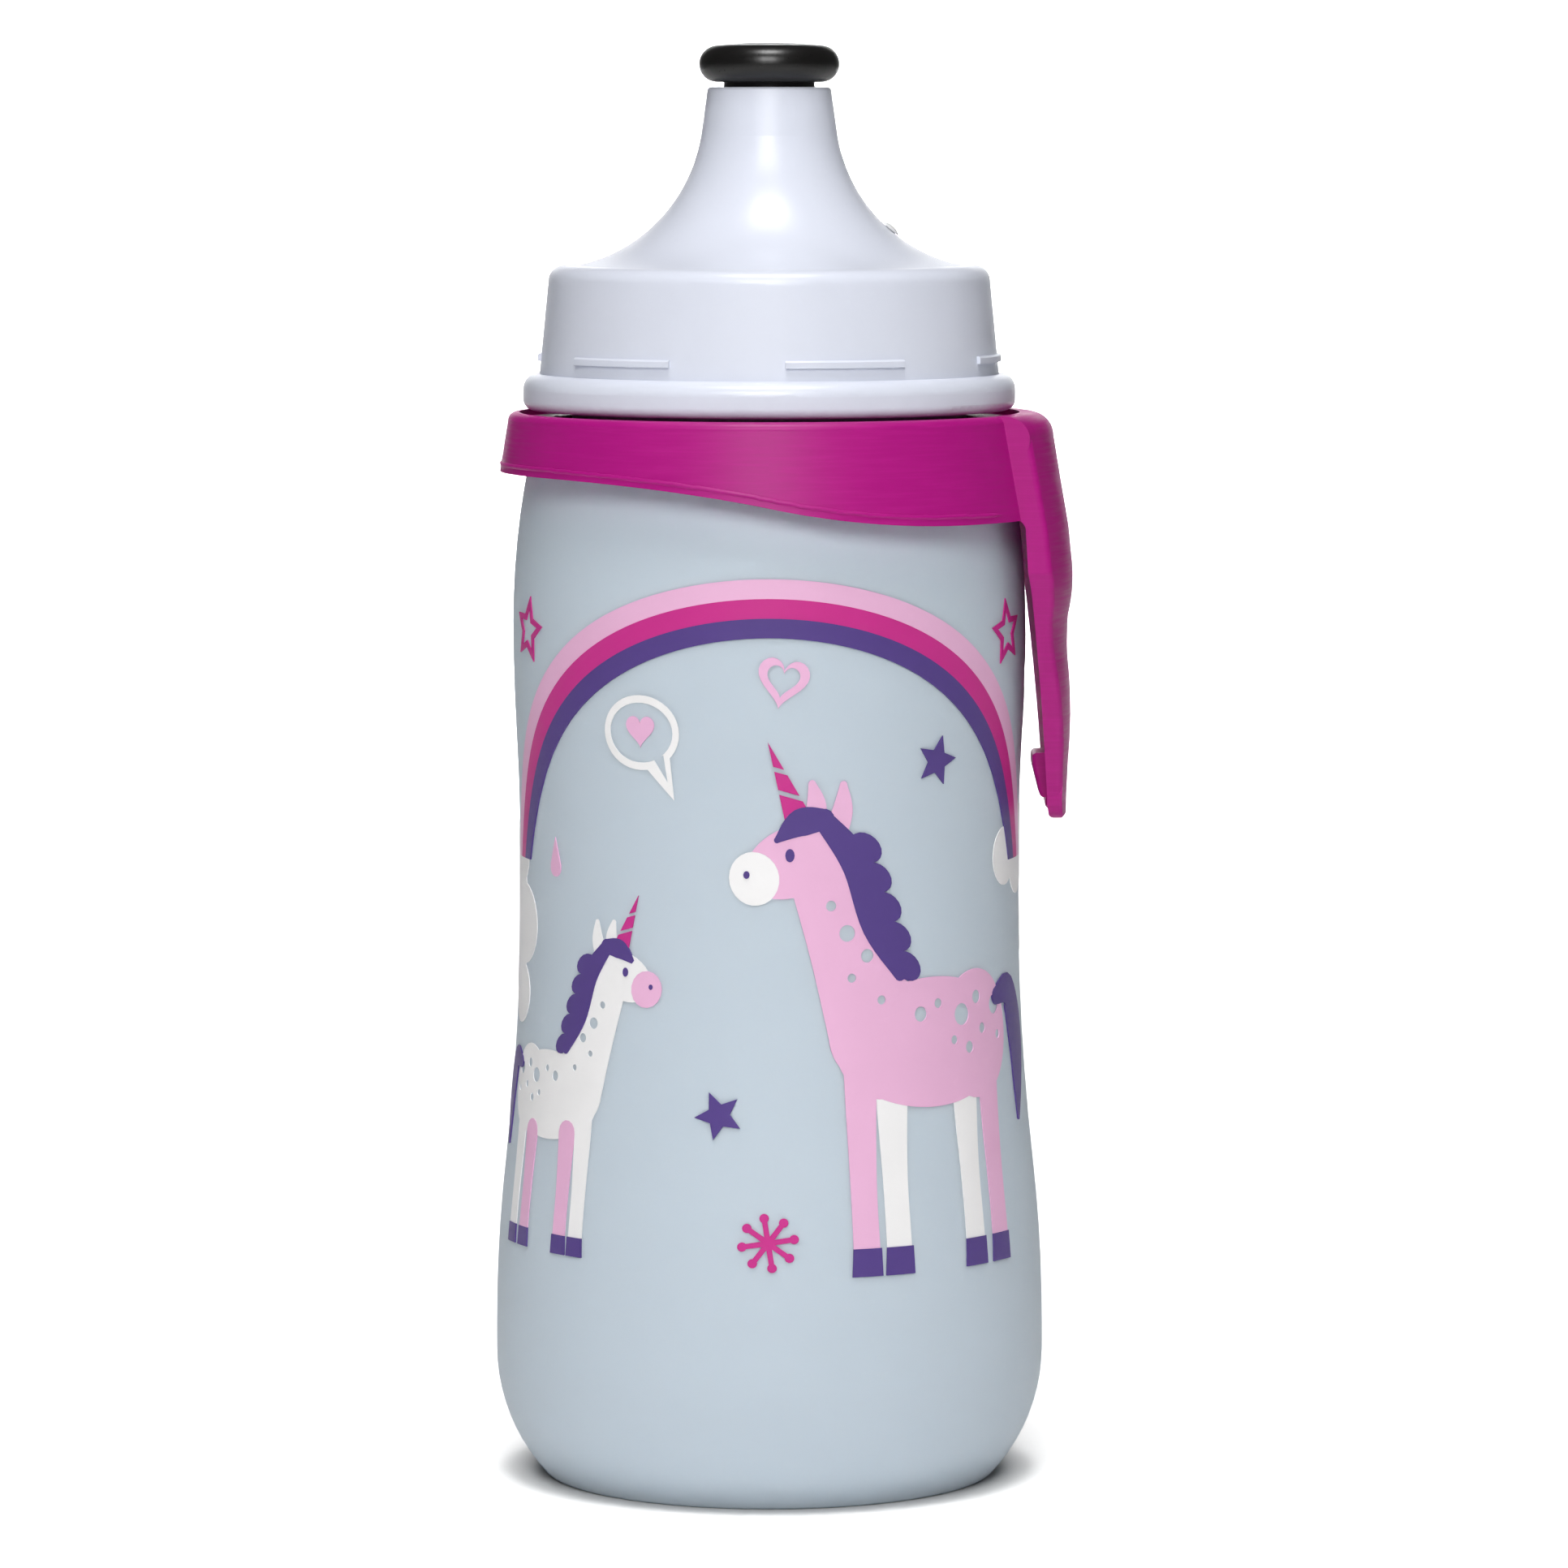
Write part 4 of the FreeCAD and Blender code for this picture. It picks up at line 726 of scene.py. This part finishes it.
def edge_bead(sizes, material):
    """A thin raised bead that follows the band's wavy lower edge, clear of the clip, and tapers
    off at both ends."""
    tree = tree_of("carry_band")
    low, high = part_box("carry_band")
    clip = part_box("carry_clip")[1]
    margin = math.radians(7)
    clear = math.asin(clip.y / clip.x) + margin
    stations, around = 260, 10
    runout, blunt = 6.0, 0.05
    step = 0.1 * MM
    inside = high.y / 2
    verts, faces = [], []
    for k in range(stations):
        angle = clear + (TURN - 2 * clear) * k / (stations - 1)
        floor = low.z
        while (reach(tree, angle, floor) or 0.0) < inside:
            floor += step
        height = floor + sizes.lift
        radius = reach(tree, angle, height) - sizes.sunk
        taper = min(1.0, min(k, stations - 1 - k) / runout + blunt)
        for m in range(around):
            turn = TURN * m / around
            out = radius + sizes.radius * taper * math.cos(turn)
            up = height + sizes.radius * taper * math.sin(turn)
            verts.append((out * math.cos(angle), out * math.sin(angle), up))
    for k in range(stations - 1):
        for m in range(around):
            n = (m + 1) % around
            faces.append((k * around + m, (k + 1) * around + m, (k + 1) * around + n, k * around + n))
    faces.append(tuple(range(around)))
    faces.append(tuple((stations - 1) * around + m for m in reversed(range(around))))
    return new_piece("band_edge_bead", verts, faces, material)


def flex_web(sizes, material):
    """The strap's core at its flex line. It stays inside the strap at rest, and closes most of
    the wedge that opens as the clip springs out."""
    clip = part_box("carry_clip")[1]
    line = clip.z
    outer = reach(tree_of("carry_clip"), 0.0, line - sizes.inset) - sizes.inset
    inner = outer - sizes.thickness + 2 * sizes.inset
    half = clip.y - sizes.inset
    crown = math.asin((half - sizes.edge) / outer)
    hollow = math.asin(half / inner)
    around, rows = 24, 9
    section = []
    for k in range(around + 1):
        angle = crown * (2 * k / around - 1)
        section.append((outer * math.cos(angle), outer * math.sin(angle)))
    shoulder = math.sqrt((outer - sizes.edge) ** 2 - half ** 2)
    section.append((shoulder, half))
    for k in range(around + 1):
        angle = hollow * (1 - 2 * k / around)
        section.append((inner * math.cos(angle), inner * math.sin(angle)))
    section.append((shoulder, -half))
    count = len(section)
    verts, faces = [], []
    for row in range(rows):
        height = line - sizes.below + (sizes.below + sizes.above) * row / (rows - 1)
        verts += [(x, y, height) for x, y in section]
    for row in range(rows - 1):
        low, high = row * count, (row + 1) * count
        faces += [(low + k, low + (k + 1) % count, high + (k + 1) % count, high + k) for k in range(count)]
    faces.append(tuple(reversed(range(count))))
    faces.append(tuple((rows - 1) * count + k for k in range(count)))
    return new_piece("clip_flex_web", verts, faces, material, SHARP)


# ---------------------------------------------------------------- films of ink
def covered(outline, points):
    """Which of the points the outline winds round."""
    winding = np.zeros(len(points), int)
    x, y = points[:, 0], points[:, 1]
    for (x0, y0), (x1, y1) in zip(outline, outline[1:] + outline[:1]):
        side = (x1 - x0) * (y - y0) - (x - x0) * (y1 - y0)
        winding += (y0 <= y) & (y1 > y) & (side > 0)
        winding -= (y0 > y) & (y1 <= y) & (side < 0)
    return winding != 0


def printed(motifs, points):
    """Which points are inside a mark of a motif and outside all its gaps."""
    inside = np.zeros(len(points), bool)
    for marks, gaps in motifs:
        motif = np.zeros(len(points), bool)
        for outline in marks:
            motif |= covered(outline, points)
        for outline in gaps:
            motif &= ~covered(outline, points)
        inside |= motif
    return inside


def divided(outline, step):
    """The outline with points added, so that no edge is longer than step."""
    points = []
    for (x0, y0), (x1, y1) in zip(outline, outline[1:] + outline[:1]):
        count = max(1, math.ceil(math.hypot(x1 - x0, y1 - y0) / step))
        points += [(x0 + (x1 - x0) * k / count, y0 + (y1 - y0) * k / count) for k in range(count)]
    return points


def ink_triangles(motifs, spacing):
    """Triangles that fill the motifs, fine enough to bend round the bottle."""
    points, edges = [], []
    for marks, gaps in motifs:
        for outline in (*marks, *gaps):
            start = len(points)
            points += divided(outline, spacing)
            count = len(points) - start
            edges += [(start + k, start + (k + 1) % count) for k in range(count)]
    row_share, weld = 0.87, 1e-4
    low = np.min(points, axis=0)
    high = np.max(points, axis=0)
    lattice = np.array([
        (x, y)
        for row, y in enumerate(np.arange(low[1], high[1], spacing * row_share))
        for x in np.arange(low[0] + (row % 2) * spacing / 2, high[0], spacing)
    ])
    points += [tuple(p) for p in lattice[printed(motifs, lattice)]]
    flat, _, faces, *_ = geometry.delaunay_2d_cdt([Vector(p) for p in points], edges, [], 0, weld)
    flat = np.array([tuple(p) for p in flat])
    faces = np.array(faces)
    return flat, faces[printed(motifs, flat[faces].mean(axis=1))]


def ink_film(name, motifs, side, lift, sunk, spacing, material):
    """One ink as a thin closed film on the bottle's side."""
    flat, faces = ink_triangles(motifs, spacing)
    used = sorted(set(faces.flatten().tolist()))
    order = {old: new for new, old in enumerate(used)}
    front = [side.wrap(*flat[k], lift) for k in used]
    back = [side.wrap(*flat[k], -sunk) for k in used]
    triangles = [tuple(order[int(k)] for k in face) for face in faces]
    count = len(used)
    hull = [*triangles, *(tuple(count + k for k in reversed(face)) for face in triangles)]
    sides = {(a, b) for face in triangles for a, b in zip(face, face[1:] + face[:1])}
    hull += [(a, count + a, count + b, b)[::-1] for a, b in sorted(sides) if (b, a) not in sides]
    return new_piece(name, [*front, *back], hull, material, SHARP)


# ---------------------------------------------------------------- operators
def finish_node(node, material):
    """Puts a material on a carried-over moulding."""
    mesh = NODES[node].data
    for slot in range(len(mesh.materials)):
        mesh.materials[slot] = material


class BOTTLE_OT_bottle(bpy.types.Operator):
    """Gives the blown bottle and its threaded neck their finish"""

    bl_idname = "bottle.bottle"
    bl_label = "Bottle"

    def execute(self, context):
        material = satin_blown_polypropylene(context.scene.bottle_finish)
        finish_node("bottle", material)
        finish_node("bottle_neck", material)
        return {"FINISHED"}


class BOTTLE_OT_lid(bpy.types.Operator):
    """Gives the screw lid its finish"""

    bl_idname = "bottle.lid"
    bl_label = "Lid"

    def execute(self, context):
        finish_node("lid", glossy_moulded_polypropylene(context.scene.bottle_finish))
        return {"FINISHED"}


class BOTTLE_OT_band(bpy.types.Operator):
    """Gives the carrying band and its clip their finish, and lays the bead along the band's edge"""

    bl_idname = "bottle.band"
    bl_label = "Band and clip"

    def execute(self, context):
        scene = context.scene
        material = scuffed_moulded_polypropylene(scene.bottle_finish)
        finish_node("carry_band", material)
        finish_node("carry_clip", material)
        bead = edge_bead(scene.bottle_bead, material)
        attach(bead, "band")
        sizes = scene.bottle_web
        web = flex_web(sizes, material)
        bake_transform(web)
        return {"FINISHED"}


class BOTTLE_OT_mouthpiece(bpy.types.Operator):
    """Gives the mouthpiece, its tube and the valve pin's cage their finishes"""

    bl_idname = "bottle.mouthpiece"
    bl_label = "Mouthpiece and valve"

    def execute(self, context):
        finish = context.scene.bottle_finish
        finish_node("mouthpiece", moulded_thermoplastic_rubber(finish))
        finish_node("drinking_tube", black_moulded_polypropylene(finish))
        finish_node("valve_pin", white_moulded_polypropylene(finish))
        return {"FINISHED"}


class BOTTLE_OT_seals(bpy.types.Operator):
    """Gives the gasket, the sliding seal and the vent valve their finish"""

    bl_idname = "bottle.seals"
    bl_label = "Seals"

    def execute(self, context):
        silicone = cured_silicone_rubber(context.scene.bottle_finish)
        for node in ("lid_gasket", "tube_seal", "vent_valve"):
            finish_node(node, silicone)
        return {"FINISHED"}


class BOTTLE_OT_print(bpy.types.Operator):
    """Prints the artwork round the bottle, one thin film for each ink"""

    bl_idname = "bottle.print"
    bl_label = "Printed artwork"

    def execute(self, context):
        inks = context.scene.bottle_print
        side = BottleSide()
        art = Artwork()
        front_artwork(art)
        back_artwork(art)
        for order, ink in enumerate(art.inks):
            lift = inks.film + order * inks.overprint
            material = screen_printed_ink(ink + "_screen_ink", tuple(getattr(inks, ink)))
            motifs = art.motifs[ink]
            film = ink_film(ink + "_ink", motifs, side, lift, inks.sunk, inks.mesh / MM, material)
            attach(film, "bottle")
        return {"FINISHED"}


class BOTTLE_OT_stage(bpy.types.Operator):
    """Sets up the paper sweep, the soft lights and the camera"""

    bl_idname = "bottle.stage"
    bl_label = "Studio"

    def execute(self, context):
        scene = context.scene
        stage = scene.bottle_stage
        sheets = floor_and_backdrop(stage)
        studio_lights(stage)
        paper_light(sheets, stage.paper_strength)
        backdrop_lights(stage)
        scene.world = studio_room(stage)
        scene.camera = studio_camera(stage)
        scene.view_settings.view_transform = "Standard"
        return {"FINISHED"}


def studio_lights(stage):
    """A wide soft box in front and above, and a smaller one over the bottle."""
    low, high = CAD_BOX
    middle = Vector((0.0, 0.0, (low[2] + high[2]) / 2))
    key_place, key_width = Vector((-0.04, -0.95, 0.68)), 0.5
    top_place, top_width = Vector((0.0, -0.2, 0.95)), 0.3
    soft_box("key_soft_box", key_place, middle, key_width, stage.key_power)
    soft_box("top_soft_box", top_place, middle, top_width, stage.top_power)


def backdrop_lights(stage):
    """Two soft boxes behind the bottle, left and right, that face the foot of the backdrop."""
    aside, behind, height, width = 0.4, 0.75, 0.55, 0.25
    spread = math.radians(90)
    target = Vector((0.0, stage.backdrop, 0.1))
    for side in (-1, 1):
        place = Vector((side * aside, behind, height))
        holder = soft_box("backdrop_light", place, target, width, stage.back_power)
        holder.data.spread = spread


def studio_room(stage):
    """A white room: dim as a light, bright where the camera sees it directly."""
    world = bpy.data.worlds.new("studio")
    world.use_nodes = True
    sky = world.node_tree.nodes["Background"]
    sky.inputs["Color"].default_value = (1.0, 1.0, 1.0, 1.0)
    ray = add_node(world, "ShaderNodeLightPath")
    seen = add_node(
        world,
        "ShaderNodeMapRange",
        {"To Min": stage.ambient, "To Max": stage.seen},
        {"Value": (ray, "Is Camera Ray")},
    )
    world.node_tree.links.new(seen.outputs["Result"], sky.inputs["Strength"])
    return world


def studio_camera(stage):
    """A long lens in front, nearly as high as the bottle's top and tilted down a little."""
    camera = bpy.data.cameras.new("camera")
    camera.lens = stage.lens
    holder = bpy.data.objects.new("camera", camera)
    holder.location = (stage.aside, -stage.distance, stage.height)
    holder.rotation_euler = Euler((math.pi / 2 - stage.tilt, 0.0, 0.0))
    bpy.context.scene.collection.objects.link(holder)
    return holder


def soft_box(name, place, target, width, power):
    """A square area light aimed at the target, and the object that holds it."""
    light = bpy.data.lights.new(name, "AREA")
    light.size = width
    light.energy = power
    holder = bpy.data.objects.new(name, light)
    holder.location = place
    holder.rotation_euler = (target - place).to_track_quat("-Z", "Y").to_euler()
    bpy.context.scene.collection.objects.link(holder)
    return holder


def paper_light(sheets, strength):
    """Even, soft light from above, linked to the paper only and set to take no bounces."""
    softness = math.radians(60)
    light = bpy.data.lights.new("paper_light", "SUN")
    light.energy = strength
    light.angle = softness
    light.cycles.max_bounces = 0
    holder = bpy.data.objects.new("paper_light", light)
    holder.light_linking.receiver_collection = sheets
    bpy.context.scene.collection.objects.link(holder)


def matt_seamless_paper(stage):
    """Thick uncoated studio paper from a roll: pale, even and dull, with a faint tooth."""
    tint = tuple(stage.paper)
    material, shader = new_plastic("matt_seamless_paper", tint, Specular_IOR_Level=0.1)
    place = mottle(material, shader, tint, share=0.004, width=50 * MM)
    grain(material, shader, place, width=1.0 * MM, height=0.02 * MM, roughness=0.85, spread=0.05)
    return material


def floor_and_backdrop(stage):
    """Plain pale paper: a wide floor, and a narrow strip behind that curves up from it. The
    strip starts just below the floor, so that no edge of it shows."""
    material = matt_seamless_paper(stage)
    wide = 3.0
    corners = [(-wide, -wide, 0), (wide, -wide, 0), (wide, wide, 0), (-wide, wide, 0)]
    floor = new_piece("floor", corners, [(0, 1, 2, 3)], material)
    half, back, bend, top = 0.5, stage.backdrop, 0.35, 0.8
    steps, sunk = 24, 0.2 * MM
    profile = []
    for k in range(steps + 1):
        angle = math.pi / 2 * k / steps
        profile.append((back - bend + bend * math.sin(angle), bend - bend * math.cos(angle) - sunk))
    profile.append((back, top))
    verts = [(x, y, z) for y, z in profile for x in (-half, half)]
    faces = [(2 * k, 2 * k + 1, 2 * k + 3, 2 * k + 2) for k in range(steps + 1)]
    sheets = bpy.data.collections.new("paper")
    for sheet in (floor, new_piece("backdrop", verts, faces, material)):
        sheets.objects.link(sheet)
    return sheets


class BOTTLE_PT_panel(bpy.types.Panel):
    """Lists the bottle's steps and settings"""

    bl_idname = "BOTTLE_PT_panel"
    bl_label = "Push-Pull Bottle"
    bl_space_type = "VIEW_3D"
    bl_region_type = "UI"
    bl_category = "Bottle"

    def draw(self, context):
        for step in STEPS:
            self.layout.operator(step.bl_idname)
        for group in GROUPS:
            settings = getattr(context.scene, group)
            for name in settings.bl_rna.properties.keys():
                if name not in ("rna_type", "name"):
                    self.layout.prop(settings, name)


GROUPS = {
    "bottle_finish": BottleFinish,
    "bottle_print": BottlePrint,
    "bottle_bead": BottleBead,
    "bottle_web": BottleWeb,
    "bottle_stage": BottleStage,
}
STEPS = (
    BOTTLE_OT_stage,
    BOTTLE_OT_bottle,
    BOTTLE_OT_lid,
    BOTTLE_OT_band,
    BOTTLE_OT_mouthpiece,
    BOTTLE_OT_seals,
    BOTTLE_OT_print,
)


def register():
    for kind in (*GROUPS.values(), *STEPS, BOTTLE_PT_panel):
        bpy.utils.register_class(kind)
    for name, kind in GROUPS.items():
        setattr(bpy.types.Scene, name, bpy.props.PointerProperty(type=kind))


def unregister():
    for name in GROUPS:
        delattr(bpy.types.Scene, name)
    for kind in reversed((*GROUPS.values(), *STEPS, BOTTLE_PT_panel)):
        bpy.utils.unregister_class(kind)


def main():
    register()
    for step in STEPS:
        group, name = step.bl_idname.split(".")
        getattr(getattr(bpy.ops, group), name)()


if __name__ == "__main__":
    main()
